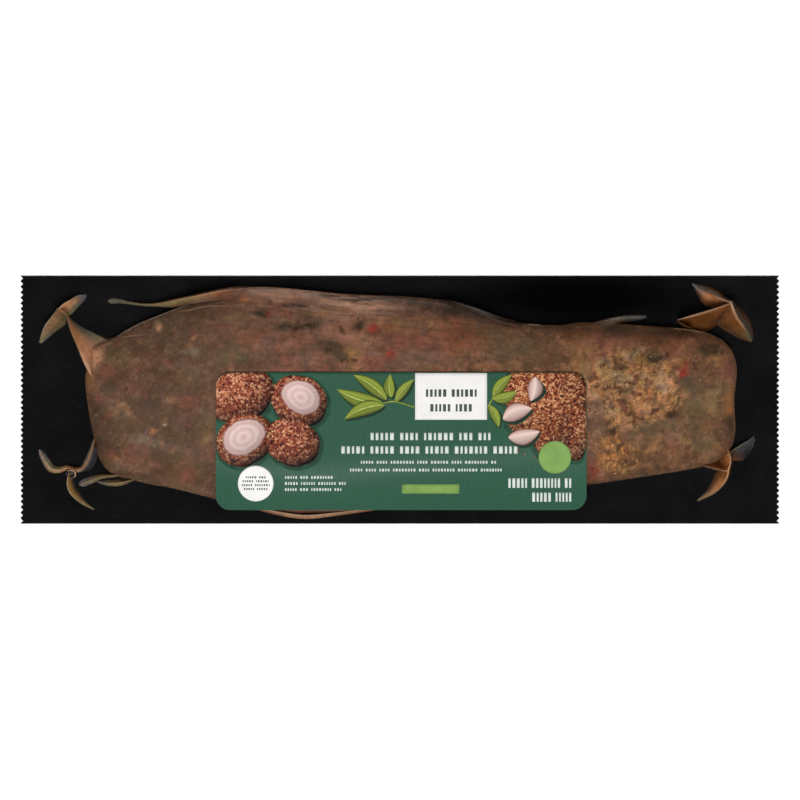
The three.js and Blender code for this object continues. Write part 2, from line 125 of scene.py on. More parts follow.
def crowded(count: int, reach: float, crowding: float) -> np.ndarray:
    """Shares from 0 to 1 that lie closer together at both ends.

    Args:
        count: how many steps.
        reach: how far in from an end the steps stay small, as a share.
        crowding: how much closer they lie there.

    Returns:
        count + 1 shares.
    """
    at = np.linspace(0, 1, 2000)
    weight = 1 + crowding * (np.exp(-at / reach) + np.exp((at - 1) / reach))
    run = np.concatenate([[0], np.cumsum((weight[1:] + weight[:-1]) / 2)])
    return np.interp(np.linspace(0, run[-1], count + 1), run, at)


def beside(line: np.ndarray, distance: np.ndarray | float) -> np.ndarray:
    """A line moved sideways in plan, to the left of its direction if distance is positive.

    Args:
        line: rows of x and y.
        distance: how far, one number or one a row.

    Returns:
        The moved rows.
    """
    ahead = np.vstack([line[1:, :2], line[-1:, :2]])
    behind = np.vstack([line[:1, :2], line[:-1, :2]])
    run = ahead - behind
    run /= np.linalg.norm(run, axis=1, keepdims=True)
    offset = np.broadcast_to(np.asarray(distance, float), (len(line),))[:, None]
    return line[:, :2] + np.column_stack([-run[:, 1], run[:, 0]]) * offset


class SoftNoise:
    """Smooth repeatable noise over the plane, from -1 to 1."""

    SIDE = 256
    SHIFT = 91.7
    LAYER_SHIFT = 37.3
    LAYER_FALL = 0.55

    def __init__(self, seed: int) -> None:
        """Draws the lattice of values from a fixed seed."""
        self.values = np.random.default_rng(seed).uniform(-1, 1, (self.SIDE, self.SIDE))

    def at(self, xy: np.ndarray, size: float | tuple[float, float]) -> np.ndarray:
        """The noise at points.

        Args:
            xy: rows of x and y in mm.
            size: the width of its features in mm, or their length and width.

        Returns:
            One value for each point.
        """
        place = xy[:, :2] / np.asarray(size, float) + self.SHIFT
        low = np.floor(place).astype(int)
        share = place - low
        u, v = (share * share * (3 - 2 * share)).T
        x0, y0 = low[:, 0] % self.SIDE, low[:, 1] % self.SIDE
        x1, y1 = (x0 + 1) % self.SIDE, (y0 + 1) % self.SIDE
        near = self.values[x0, y0] * (1 - u) + self.values[x1, y0] * u
        far = self.values[x0, y1] * (1 - u) + self.values[x1, y1] * u
        return near * (1 - v) + far * v

    def layered(self, xy: np.ndarray, size: float, layers: int = 3) -> np.ndarray:
        """The noise with finer and weaker layers added, each turned another way.

        Args:
            xy: rows of x and y.
            size: width of the broadest features.
            layers: how many layers there are.

        Returns:
            One value for each row.
        """
        total = np.zeros(len(xy))
        for k in range(layers):
            cos, sin = math.cos(0.6 + 0.9 * k), math.sin(0.6 + 0.9 * k)
            turned = xy[:, :2] @ np.array([[cos, sin], [-sin, cos]])
            total += self.at(turned + self.LAYER_SHIFT * k, size / 2**k) * self.LAYER_FALL**k
        return total / sum(self.LAYER_FALL**k for k in range(layers))

    def bent(self, xy: np.ndarray, reach: float, size: float, shifts: tuple[float, float]) -> np.ndarray:
        """Points moved this way and that by up to reach, the noise being read at two shifts."""
        return xy + reach * np.column_stack([self.layered(xy + shift, size) for shift in shifts])


# Meshes


@dataclass
class Shell:
    """Points, faces and values at the points, gathered until they become one mesh."""

    points: list[np.ndarray] = field(default_factory=list)
    faces: list[tuple[int, ...]] = field(default_factory=list)
    values: dict[str, list[np.ndarray]] = field(default_factory=dict)

    def add(self, points: np.ndarray, faces: Faces, **values: np.ndarray) -> None:
        """Adds a block of points.

        Args:
            points: rows of x, y, z in mm.
            faces: rings of indices into these points.
            values: one number or colour for each point, by attribute name.
        """
        start = sum(len(block) for block in self.points)
        self.points.append(np.asarray(points, float))
        self.faces.extend(tuple(start + i for i in ring) for ring in faces)
        for name, value in values.items():
            self.values.setdefault(name, []).append(np.asarray(value, float))

    def add_closed(
        self, points: np.ndarray, faces: Faces, thickness: float, **values: np.ndarray
    ) -> None:
        """Adds an open sheet as a thin closed one, with its underside straight below.

        Args:
            points: the sheet's upper points in mm.
            faces: its faces, seen counter-clockwise from above.
            thickness: how far down the underside lies, in mm.
            values: one number or colour for each point, by attribute name.
        """
        count = len(points)
        edges = {(a, b): True for ring in faces for a, b in zip(ring, ring[1:] + ring[:1])}
        under = [tuple(count + i for i in reversed(ring)) for ring in faces]
        sides = [(b, a, count + a, count + b) for a, b in edges if (b, a) not in edges]
        lowered = np.asarray(points, float) - np.array([0, 0, thickness])
        doubled = {name: np.concatenate([value, value]) for name, value in values.items()}
        self.add(np.vstack([points, lowered]), list(faces) + under + sides, **doubled)

    def mesh_object(self, name: str, material: bpy.types.Material) -> bpy.types.Object:
        """The gathered shell as a mesh object in the scene.

        Args:
            name: the piece's name.
            material: its finish.

        Returns:
            The new object, smooth shaded, at the origin.
        """
        mesh = bpy.data.meshes.new(name)
        mesh.from_pydata((np.vstack(self.points) * MM).tolist(), [], self.faces)
        for attribute, blocks in self.values.items():
            together = np.concatenate(blocks)
            if together.ndim == 1:
                layer = mesh.attributes.new(attribute, "FLOAT", "POINT")
                layer.data.foreach_set("value", together.astype(np.float32))
            else:
                layer = mesh.attributes.new(attribute, "FLOAT_COLOR", "POINT")
                full = np.column_stack([together, np.ones(len(together))])
                layer.data.foreach_set("color", full.astype(np.float32).ravel())
        mesh.materials.append(material)
        mesh.update()
        return placed(mesh)


def placed(mesh: bpy.types.Mesh) -> bpy.types.Object:
    """Puts a mesh in the scene.

    Args:
        mesh: its points in metres, in place.

    Returns:
        A smooth shaded object with the mesh's own name.
    """
    mesh.polygons.foreach_set("use_smooth", [True] * len(mesh.polygons))
    made = bpy.data.objects.new(mesh.name, mesh)
    bpy.context.scene.collection.objects.link(made)
    return made


def grid_faces(columns: int, rows: int) -> list[tuple[int, ...]]:
    """Faces of a grid whose points run row by row within each column, seen from above."""
    starts = [column * (rows + 1) + row for column in range(columns) for row in range(rows)]
    return [(a, a + rows + 1, a + rows + 2, a + 1) for a in starts]


def grid_rim(columns: int, rows: int) -> list[int]:
    """The border points of such a grid, counter-clockwise from above.

    Args:
        columns: steps along the grid.
        rows: steps across it.

    Returns:
        The points' numbers in order.
    """
    last = columns * (rows + 1)
    rim = [column * (rows + 1) for column in range(columns)] + [last + row for row in range(rows)]
    rim += [column * (rows + 1) + rows for column in range(columns, 0, -1)]
    return rim + list(range(rows, 0, -1))


def walled(points: np.ndarray, columns: int, rows: int, level: float) -> tuple[np.ndarray, Faces]:
    """A grid with an upright wall from its rim down to a level.

    Args:
        points: the grid's points in mm.
        columns: its steps along.
        rows: its steps across.
        level: the wall's foot in mm.

    Returns:
        The points with the foot's after them, and the faces.
    """
    rim = grid_rim(columns, rows)
    foot = np.column_stack([points[rim][:, :2], np.full(len(rim), level)])
    first = len(points)
    faces = grid_faces(columns, rows)
    for i, top in enumerate(rim):
        after = (i + 1) % len(rim)
        faces.append((first + i, first + after, rim[after], top))
    return np.vstack([points, foot]), faces


def tube_faces(steps: int, size: int) -> list[tuple[int, ...]]:
    """Faces between rings of points that follow one another.

    Args:
        steps: rings less one.
        size: points in a ring.

    Returns:
        The faces, four points each.
    """
    faces = []
    for a in range(0, steps * size, size):
        for i in range(size):
            after = (i + 1) % size
            faces.append((a + i, a + after, a + size + after, a + size + i))
    return faces


def outward(points: np.ndarray, faces: Faces) -> Faces:
    """A closed shape's faces, turned round if they face inwards.

    Args:
        points: rows of x, y and z.
        faces: point numbers of each face.

    Returns:
        The faces, all turned outwards.
    """
    volume = 0.0
    for ring in faces:
        for i in range(1, len(ring) - 1):
            a, b, c = points[ring[0]], points[ring[i]], points[ring[i + 1]]
            volume += float(np.dot(a, np.cross(b, c)))
    return faces if volume > 0 else [tuple(reversed(ring)) for ring in faces]


def settle(piece: bpy.types.Object, replaces: Sequence[str] = ()) -> None:
    """Ties a finished piece to the frame and reports it.

    Args:
        piece: the object, in place.
        replaces: CAD nodes that it stands for.
    """
    if replaces:
        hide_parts(*replaces)
    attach(piece, BODY)
    log.info("%s: %d faces", piece.name, len(piece.data.polygons))


# Finishes


class Tone(Enum):
    """Screen colours of the meat, the rub, the juice and the folded film, and of painted highlights such
    as GLINT.
    """

    DUSTY_BROWN = (80, 64, 51)
    WARM_BROWN = (112, 79, 54)
    OLIVE_BROWN = (84, 68, 46)
    ASH_OLIVE = (86, 77, 57)
    HERB_GREEN = (64, 55, 38)
    DARK_BROWN = (46, 29, 17)
    BRONZE = (84, 50, 22)
    RIND = (84, 54, 36)
    ROSY_BROWN = (111, 73, 60)
    RED_BROWN = (114, 68, 48)
    BRICK = (120, 72, 60)
    SAND = (154, 109, 68)
    PINK_SAND = (188, 138, 104)
    GREY_SAND = (156, 136, 104)
    PINK_BROWN = (138, 101, 86)
    MAUVE_GREY = (104, 80, 74)
    MAUVE_DARK = (78, 62, 58)
    PEACH = (190, 146, 116)
    CHILLI = (138, 50, 42)
    ORANGE = (176, 114, 64)
    AMBER = (168, 114, 76)
    RUSSET = (112, 69, 42)
    DEEP_AMBER = (106, 63, 29)
    UMBER = (74, 52, 36)
    GOLD = (144, 109, 62)
    STRAW = (142, 124, 86)
    OLIVE = (104, 92, 62)
    TAN = (154, 116, 85)
    PINK_TAN = (150, 110, 90)
    PALE_TAN = (196, 160, 130)
    MOSS = (88, 86, 72)
    GREY = (106, 104, 102)
    SLATE = (68, 68, 76)
    SILVER = (178, 150, 134)
    GLINT = (236, 204, 172)
    DARK = (30, 28, 28)
    CLEAR_LINE = (164, 152, 132)
    SAGE = (124, 126, 108)


def add_node(
    tree: bpy.types.NodeTree, kind: str, inputs: Inputs, **settings: object
) -> bpy.types.Node:
    """Adds a node to a tree.

    Args:
        tree: where it goes.
        kind: the node type's name.
        inputs: values or outputs, by the input's name or number.
        settings: the node's own properties.

    Returns:
        The node.
    """
    node = tree.nodes.new(kind)
    for name, value in settings.items():
        setattr(node, name, value)
    for socket, value in inputs.items():
        if isinstance(value, bpy.types.NodeSocket):
            tree.links.new(value, node.inputs[socket])
        else:
            node.inputs[socket].default_value = value
    return node


class Paint:
    """A short way to add and join the shader nodes of one material."""

    def __init__(self, name: str) -> None:
        """Starts a material that holds only its output.

        Args:
            name: the material's name.
        """
        self.material = bpy.data.materials.new(name)
        self.material.use_nodes = True
        self.tree = self.material.node_tree
        self.tree.nodes.clear()
        self.output = self.tree.nodes.new("ShaderNodeOutputMaterial")
        self.place = self.tree.nodes.new("ShaderNodeTexCoord").outputs["Object"]

    def node(self, kind: str, **sockets: object) -> bpy.types.Node:
        """Adds a shader node, with its inputs set or joined by name, _ standing for a space."""
        inputs = {name.replace("_", " "): value for name, value in sockets.items()}
        return add_node(self.tree, "ShaderNode" + kind, inputs)

    def moved(self, shift: float) -> Socket:
        """Object space moved by shift in mm, so that two patterns differ."""
        return self.node("Mapping", Vector=self.place, Location=(shift * MM, shift * MM, 0)).outputs[0]

    def noise(self, size: float, detail: float = 3, shift: float = 0) -> Socket:
        """Noise around 0.5 with features of a size in mm, finer layers and a shift in mm."""
        sizes = {"Scale": 1 / (size * MM), "Detail": detail, "Roughness": 0.55}
        return self.node("TexNoise", Vector=self.moved(shift), **sizes).outputs["Fac"]

    def cells(self, size: float, shift: float = 0) -> bpy.types.Node:
        """A Voronoi pattern in object space with cells of that width in mm."""
        return self.node("TexVoronoi", Vector=self.moved(shift), Scale=1 / (size * MM))

    def value(self, attribute: str, output: str = "Fac") -> Socket:
        """A value stored at the piece's points."""
        return add_node(self.tree, "ShaderNodeAttribute", {}, attribute_name=attribute).outputs[output]

    def ramp(self, share: Socket, stops: Sequence[tuple[float, Sequence[float]]]) -> Socket:
        """A colour from a share.

        Args:
            share: the output that drives it.
            stops: positions from 0 to 1 with their linear rgba colours.

        Returns:
            The colour output.
        """
        node = self.node("ValToRGB", Fac=share)
        elements = node.color_ramp.elements
        while len(elements) < len(stops):
            elements.new(0.5)
        for element, (position, colour) in zip(elements, stops):
            element.position = position
            element.color = colour
        return node.outputs["Color"]

    def fade(self, share: Socket, low: float, high: float) -> Socket:
        """0 below low and 1 above high, or the other way round if high is the smaller."""
        return self.node("MapRange", Value=share, From_Min=low, From_Max=high).outputs["Result"]

    def scaled(self, share: Socket, low: float, high: float) -> Socket:
        """A value around 0.5 spread from low to high."""
        spread = {"From_Min": 0.25, "From_Max": 0.75, "To_Min": low, "To_Max": high}
        return self.node("MapRange", Value=share, **spread).outputs["Result"]

    def blend(self, share: object, first: object, second: object, way: str = "MIX") -> Socket:
        """A share of the second colour mixed into the first, in one of Blender's ways."""
        inputs = {0: share, 6: first, 7: second}
        return add_node(self.tree, "ShaderNodeMix", inputs, data_type="RGBA", blend_type=way).outputs[2]

    def varied(
        self, colour: object, share: Socket, low: Factors, high: Factors, edge: float = 0.3
    ) -> Socket:
        """A colour times factors, low up to a share of edge and high from as far above 0.5."""
        stops = [(edge, (*low, 1)), (1 - edge, (*high, 1))]
        return self.blend(1.0, colour, self.ramp(share, stops), "MULTIPLY")

    def math(self, way: str, *numbers: object) -> Socket:
        """Numbers or outputs joined by a Math node."""
        inputs = dict(enumerate(numbers))
        return add_node(self.tree, "ShaderNodeMath", inputs, operation=way).outputs[0]

    def plus(self, first: object, second: object) -> Socket:
        """The sum of two numbers or outputs."""
        return self.math("ADD", first, second)

    def times(self, first: object, second: object) -> Socket:
        """The product of two numbers or outputs."""
        return self.math("MULTIPLY", first, second)

    def bump(self, height: Socket, depth: float, strength: float = 1) -> Socket:
        """A normal from a height from 0 to 1 that is depth mm deep."""
        node = self.node("Bump", Height=height, Distance=depth * MM, Strength=strength)
        return node.outputs["Normal"]

    def surface(self, specular: float, **sockets: object) -> bpy.types.Node:
        """The main shader with its gloss, and other inputs set or joined."""
        return self.node("BsdfPrincipled", Specular_IOR_Level=specular, **sockets)

    def finish(self, shader: bpy.types.Node) -> bpy.types.Material:
        """Joins the last shader to the output and gives the material."""
        self.tree.links.new(shader.outputs[0], self.output.inputs["Surface"])
        return self.material

    def veiled(self, cover: Socket, shader: bpy.types.Node) -> bpy.types.Material:
        """The material of a shader that covers only a share of what is behind it.

        Args:
            cover: the share, from 0 to 1.
            shader: what covers.

        Returns:
            The finished material.
        """
        clear = self.node("BsdfTransparent", Color=(1, 1, 1, 1)).outputs[0]
        inputs = {0: cover, 1: clear, 2: shader.outputs[0]}
        return self.finish(add_node(self.tree, "ShaderNodeMixShader", inputs))


@dataclass(frozen=True)
class BlackWebFinish:
    """Glossy black plastic film, with a patch of painted shade beside the meat's upper edge."""

    dark: Rgb = (9, 9, 10)
    light: Rgb = (18, 18, 20)
    painted_shade_centre: tuple[float, float] = (82, 47)
    painted_shade_reach: tuple[float, float] = (58, 13)
    painted_shade_black: tuple[float, ...] = (0.0006, 0.0006, 0.0007, 1)

    def material(self) -> bpy.types.Material:
        """Builds the material.

        Returns:
            The web's material.
        """
        paint = Paint("black_web")
        broad = paint.noise(26, 3)
        colour = paint.ramp(broad, [(0.3, rgba(self.dark)), (0.7, rgba(self.light))])
        # Painted shade: a soft near-black patch beside the meat's upper edge, where the roughness also
        # drops a little.
        x, y = self.painted_shade_centre
        wide, tall = self.painted_shade_reach
        moved = paint.node("Mapping", Vector=paint.place, Location=(-x / wide, -y / tall, 0))
        moved.inputs["Scale"].default_value = (1 / (wide * MM), 1 / (tall * MM), 0)
        away = add_node(paint.tree, "ShaderNodeVectorMath", {0: moved.outputs[0]}, operation="LENGTH")
        hollow = paint.fade(away.outputs["Value"], 1.25, 0.45)
        rough = paint.scaled(paint.noise(1.1, 2), 0.14, 0.2)
        shader = paint.surface(
            0.12,
            Base_Color=paint.blend(hollow, colour, self.painted_shade_black),
            Roughness=paint.plus(rough, paint.times(hollow, -0.06)),
            Normal=paint.bump(paint.plus(broad, paint.noise(4, 2, 9)), 0.1, 0.4),
        )
        return paint.finish(shader)


@dataclass(frozen=True)
class RubbedMeatFinish:
    """Moist raw pork under a dusting of dried herbs: the broad colours come with the mesh."""

    dust_dark: Rgb = (48, 36, 25)
    dust_green: Rgb = (66, 60, 42)

    def material(self) -> bpy.types.Material:
        """Builds the material.

        Returns:
            The meat's material.
        """
        paint = Paint("rubbed_meat")
        mottle, fibres = paint.noise(1.3, 4), paint.noise(6, 5, 21)
        colour = paint.varied(paint.value("tone", "Color"), mottle, (0.86,) * 3, (1.14,) * 3)
        colour = paint.varied(colour, fibres, (0.93, 0.98, 1.0), (1.08, 1.0, 0.97), 0.35)
        specks = paint.fade(paint.cells(1.1, 4).outputs["Distance"], 0.55, 0.1)
        some = paint.fade(paint.noise(3.2, 3, 5), 0.42, 0.6)
        thin = paint.times(paint.times(specks, 0.75), some)
        dusty = paint.blend(paint.noise(3.1, 2, 11), rgba(self.dust_dark), rgba(self.dust_green))
        colour = paint.blend(paint.times(thin, paint.value("dust")), colour, dusty)
        crumbled = paint.varied(colour, paint.noise(0.9, 3, 12), (0.66, 0.64, 0.6), (1.3,) * 3, 0.32)
        shader = paint.surface(
            0.08,
            Base_Color=paint.blend(paint.value("grainy"), colour, crumbled),
            Roughness=paint.scaled(mottle, 0.5, 0.66),
            Normal=paint.bump(paint.plus(mottle, paint.times(fibres, 0.6)), 0.22, 0.6),
        )
        return paint.finish(shader)


@dataclass(frozen=True)
class SpiceFinish:
    """Dried bits of the rub, each with its own tint between a dark and a light end."""

    name: str
    dark: Rgb
    middle: Rgb
    light: Rgb

    def material(self) -> bpy.types.Material:
        """Builds the material.

        Returns:
            The bits' material.
        """
        paint = Paint(self.name)
        stops = [(0.0, rgba(self.dark)), (0.55, rgba(self.middle)), (1.0, rgba(self.light))]
        colour = paint.ramp(paint.value("tint"), stops)
        shader = paint.surface(
            0.2,
            Base_Color=paint.varied(colour, paint.noise(0.5, 3), (0.72,) * 3, (1.2,) * 3),
            Roughness=paint.scaled(paint.noise(0.7, 2, 3), 0.5, 0.75),
        )
        return paint.finish(shader)


@dataclass(frozen=True)
class ClearFilmFinish:
    """Thin clear film drawn tight: nothing of its own but gloss and a faint haze."""

    haze_colour: Rgb = (186, 148, 112)
    haze: float = 0.004
    edge_gloss: float = 0.14
    roughness: float = 0.16

    def material(self) -> bpy.types.Material:
        """Builds the material.

        Returns:
            The tight film's material.
        """
        paint = Paint("clear_film")
        ripples = paint.plus(paint.noise(7, 3), paint.times(paint.noise(2, 2, 8), 0.5))
        normal = paint.bump(ripples, 0.35, 0.6)
        gloss = paint.node(
            "BsdfPrincipled",
            Base_Color=paint.ramp(ripples, [(0.4, (0.02, 0.02, 0.02, 1)), (1.0, rgba(self.haze_colour))]),
            Normal=normal,
            Roughness=paint.scaled(paint.noise(3, 2, 14), self.roughness * 0.8, self.roughness * 1.3),
        )
        edge = paint.node("LayerWeight", Blend=0.1, Normal=normal).outputs["Fresnel"]
        cover = paint.plus(paint.times(edge, self.edge_gloss), self.haze)
        return paint.veiled(cover, gloss)


@dataclass(frozen=True)
class PinchedFilmFinish:
    """Film folded on itself with juice inside: colour and cover come with the mesh."""

    name: str = "pinched_film"

    def material(self) -> bpy.types.Material:
        """Builds the material.

        Returns:
            The folds' material.
        """
        paint = Paint(self.name)
        tone, cloud = paint.value("tone", "Color"), paint.noise(2.2, 3)
        shader = paint.surface(
            0.2,
            Base_Color=paint.varied(tone, cloud, (0.84, 0.82, 0.78), (1.15,) * 3),
            Roughness=paint.scaled(paint.noise(1.5, 2, 6), 0.22, 0.4),
            Normal=paint.bump(paint.noise(2.4, 2, 17), 0.2, 0.4),
        )
        return paint.veiled(paint.value("cover"), shader)


class InkPattern(Enum):
    """What varies an ink's colour."""

    EVEN = "a faint unevenness of print"
    PINSTRIPES = "fine upright lines, crossed by fainter ones"
    GRANULES = "a heap of coloured grains"
    ACROSS = "the value called share, stored at the print's points"


@dataclass(frozen=True)
class InkFinish:
    """Printed colour under a satin varnish."""

    name: str
    stops: tuple[tuple[float, Rgb], ...]
    pattern: InkPattern = InkPattern.EVEN
    size: float = 3.0
    roughness: float = 0.5
    shading: float = 0.0

    def driver(self, paint: Paint) -> Socket:
        """The output that runs through the ink's colours.

        Args:
            paint: the ink's own nodes.

        Returns:
            A share from 0 to 1.
        """
        if self.pattern is InkPattern.ACROSS:
            wobble = paint.scaled(paint.noise(self.size, 3), -0.05, 0.05)
            return paint.plus(paint.value("share"), wobble)
        if self.pattern is InkPattern.GRANULES:
            grain = paint.node("SeparateColor", Color=paint.cells(self.size).outputs["Color"]).outputs[0]
            cloud = paint.times(paint.noise(self.size * 2.6, 5, 5), 0.62)
            return paint.plus(paint.times(grain, 0.4), cloud)
        if self.pattern is InkPattern.PINSTRIPES:
            place = paint.node("SeparateXYZ", Vector=paint.place).outputs
            waves = []
            for axis, strength in (("X", 0.26), ("Y", 0.1)):
                turns = paint.times(place[axis], 2 * math.pi / (self.size * MM))
                waves.append(paint.times(paint.math("SINE", turns), strength))
            cloud = paint.times(paint.noise(1.3, 3), 0.35)
            return paint.plus(paint.plus(*waves), paint.plus(cloud, 0.32))
        return paint.noise(self.size, 3)

    def material(self) -> bpy.types.Material:
        """Builds the material.

        Returns:
            The ink's material.
        """
        paint = Paint(self.name)
        colour = paint.ramp(self.driver(paint), [(at, rgba(tone)) for at, tone in self.stops])
        if self.shading:
            share = paint.value("share")
            dip = paint.times(paint.times(share, share), -0.55 * self.shading)
            lit = paint.times(paint.value("lit"), 0.5 * self.shading)
            level = paint.plus(paint.plus(dip, lit), 1.0)
            grey = paint.node("CombineColor", Red=level, Green=level, Blue=level).outputs[0]
            colour = paint.blend(1.0, colour, grey, "MULTIPLY")
        shader = paint.surface(
            0.08,
            Base_Color=colour,
            Roughness=paint.scaled(paint.noise(2, 2, 40), self.roughness - 0.05, self.roughness + 0.05),
            Normal=paint.bump(paint.noise(0.6, 2, 50), 0.02, 0.5),
        )
        return paint.finish(shader)


# The meat's form, shared by the meat, the film and the label


@dataclass(frozen=True)
class Swell:
    """A broad hump or hollow: centre, reach and height in mm."""

    x: float
    y: float
    reach_x: float
    reach_y: float
    height: float


@dataclass
class MeatForm:
    """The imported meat's outline and height, in mm, as the CAD solid has them."""

    shoulder: float = 30
    shoulder_power: float = 3
    rim_height: float = 1
    label_centre: tuple[float, float] = (0.6, -19.1)
    label_size: tuple[float, float] = (171, 63.5)
    label_gap: float = 0.55
    label_leaves: float = 13
    label_droop: float = 0.006
    block: int = 8000
    patch_centre: tuple[float, float] = (113, 1)
    patch_reach: tuple[float, float] = (33, 25)
    lump_count: int = 130
    lump_height: tuple[float, float] = (0.45, 1.15)
    lump_reach: tuple[float, float] = (1.6, 3.1)
    trace_steps: int = 60
    edge_steps: tuple[int, int] = (600, 400)
    thickness: Line = (
        (-146, 15.6), (-118, 19.2), (-75, 23), (-20, 24.4), (30, 23.6), (66, 21.2), (92, 22), (124, 21),
        (156, 17.4),
    )
    upper: Line = (
        (-142.2, 24.4), (-134.8, 27.0), (-125.4, 33.1), (-103.7, 42.3), (-89.9, 47.4), (-77.4, 51.2),
        (-64.0, 52.5), (-25.3, 49.2), (13.9, 47.0), (30.0, 43.6), (47.0, 37.2), (73.4, 34.7),
        (83.0, 36.0), (115.3, 34.3), (141.0, 31.6), (149.0, 28.0),
    )
    right: Line = (
        (149.0, 28.0), (153.4, 22.8), (155.5, 15.0), (154.4, 0.0), (154.8, -15.6), (152.9, -22.6),
        (148.6, -27.7),
    )
    lower: Line = (
        (-136.8, -30.9), (-132.6, -34.4), (-124.0, -36.8), (-101.4, -41.8), (-79.3, -47.6),
        (-62.2, -50.9), (-43.8, -52.6), (0.0, -49.6), (50.8, -44.2), (109.3, -36.2), (141.0, -30.7),
        (148.6, -27.7),
    )
    left: Line = (
        (-136.8, -30.9), (-140.2, -24.6), (-141.7, -16.7), (-145.3, 5.9), (-144.8, 14.9), (-142.2, 24.4),
    )
    swells: tuple[Swell, ...] = (
        Swell(-96, -4, 34, 24, 0.9), Swell(-38, 30, 30, 12, 0.8), Swell(-8, 4, 44, 22, 0.5),
        Swell(44, 20, 20, 12, -0.7), Swell(75, 6, 7, 30, -1.6), Swell(112, 4, 22, 18, 1.0),
        Swell(136, -18, 14, 12, 0.7),
    )

    def __post_init__(self) -> None:
        """Traces the outline and draws the rub's lumps once."""
        upper, right, lower, left = (
            smooth_line(run, self.trace_steps)[:, :2]
            for run in (self.upper, self.right, self.lower, self.left)
        )
        self.outline = np.vstack([upper[::-1][:-1], left[::-1][:-1], lower[:-1], right[::-1][:-1]])
        self.profile = smooth_line(self.thickness, 2 * self.trace_steps)
        self.lumps = self.rub_lumps()

    def rub_lumps(self) -> np.ndarray:
        """The lumps of thick rub: rows of x, y, reach and height, by the CAD source's own draws.

        Returns:
            One row for each lump, in mm.
        """
        state = 7
        mask = 0xFFFFFFFF

        def draw() -> float:
            """One repeatable number between 0 and 1.

            Returns:
                The next number.
            """
            nonlocal state
            state = (state + 0x6D2B79F5) & mask
            mixed = ((state ^ (state >> 15)) * (1 | state)) & mask
            mixed = ((mixed + (((mixed ^ (mixed >> 7)) * (61 | mixed)) & mask)) & mask) ^ mixed
            return ((mixed ^ (mixed >> 14)) & mask) / 4294967296

        rows = []
        for _ in range(self.lump_count):
            angle = 2 * math.pi * draw()
            out = math.sqrt(draw())
            x = self.patch_centre[0] + self.patch_reach[0] * out * math.cos(angle)
            y = self.patch_centre[1] + self.patch_reach[1] * out * math.sin(angle)
            low, high = self.lump_height
            height = (low + (high - low) * draw()) * (1 - 0.5 * out)
            near, far = self.lump_reach
            rows.append((x, y, near + (far - near) * draw(), height))
        return np.array(rows)

    def depth(self, xy: np.ndarray) -> np.ndarray:
        """Distance from the meat's outline, positive inside it.

        Args:
            xy: rows of x and y in mm.

        Returns:
            One distance in mm for each point.
        """
        start, end = self.outline, np.roll(self.outline, -1, axis=0)
        run = end - start
        length = (run**2).sum(axis=1)
        result = np.empty(len(xy))
        for first in range(0, len(xy), self.block):
            point = xy[first : first + self.block, None, :2]
            share = np.clip(((point - start) * run).sum(axis=2) / length, 0, 1)
            nearest = np.sqrt((((start + share[..., None] * run) - point) ** 2).sum(axis=2)).min(axis=1)
            x, y = point[..., 0], point[..., 1]
            crosses = (start[:, 1] > y) != (end[:, 1] > y)
            rise = np.where(run[:, 1] == 0, 1e-9, run[:, 1])
            left_of = x < start[:, 0] + (y - start[:, 1]) / rise * run[:, 0]
            inside = (crosses & left_of).sum(axis=1) % 2 == 1
            result[first : first + self.block] = np.where(inside, nearest, -nearest)
        return result

    def smooth_top(self, xy: np.ndarray, depth: np.ndarray | float) -> np.ndarray:
        """Height of the smooth film above the ground, from a point's distance inside the outline.

        Args:
            xy: rows of x and y in mm.
            depth: their distances inside the outline in mm.

        Returns:
            One height in mm for each point.
        """
        x, y = xy[:, 0], xy[:, 1]
        full = np.interp(x, self.profile[:, 0], self.profile[:, 1])
        for swell in self.swells:
            across = ((x - swell.x) / swell.reach_x) ** 2 + ((y - swell.y) / swell.reach_y) ** 2
            full = full + swell.height * np.exp(-across)
        left = 1 - np.clip(depth / self.shoulder, 0, 1)
        rise = (full - self.rim_height) * np.sqrt(1 - left**self.shoulder_power)
        return WEB_TOP + self.rim_height + rise

    def off_label(self, xy: np.ndarray) -> np.ndarray:
        """How far points lie outside the label's rectangle, 0 on it.

        Args:
            xy: rows of x and y in mm.

        Returns:
            One distance in mm for each point.
        """
        dx = np.abs(xy[:, 0] - self.label_centre[0]) - self.label_size[0] / 2
        dy = np.abs(xy[:, 1] - self.label_centre[1]) - self.label_size[1] / 2
        return np.hypot(np.maximum(dx, 0), np.maximum(dy, 0))

    def rub_relief(self, xy: np.ndarray, depth: np.ndarray) -> np.ndarray:
        """Height that the lumps of rub press up at points.

        Args:
            xy: rows of x and y in mm.
            depth: their distances inside the outline in mm.

        Returns:
            One height in mm for each point.
        """
        clear = smooth_step(1.5, 5, self.off_label(xy)) * smooth_step(2, 9, depth)
        top = np.zeros(len(xy))
        for x, y, reach, height in self.lumps:
            near = np.exp(-((xy[:, 0] - x) ** 2 + (xy[:, 1] - y) ** 2) / reach**2)
            top = np.maximum(top, clear * height * near)
        return top

    def film_height(self, xy: np.ndarray, depth: np.ndarray) -> np.ndarray:
        """Height of the film over points, lumps of rub included."""
        return self.smooth_top(xy, depth) + self.rub_relief(xy, depth)

    def label_underside(self, xy: np.ndarray) -> np.ndarray:
        """Height of the label's underside: on the film, then straight on over the meat's edge.

        Args:
            xy: rows of x and y in mm.

        Returns:
            One height in mm for each point.
        """
        depth = self.depth(xy)
        leaving = self.smooth_top(xy, self.label_leaves)
        slope = (self.smooth_top(xy, self.label_leaves + 0.5) - leaving) / 0.5
        past = self.label_leaves - depth
        free = leaving + self.label_gap - slope * past - self.label_droop * past * past
        resting = self.smooth_top(xy, np.maximum(depth, 0)) + self.label_gap
        return np.where(depth >= self.label_leaves, resting, free)

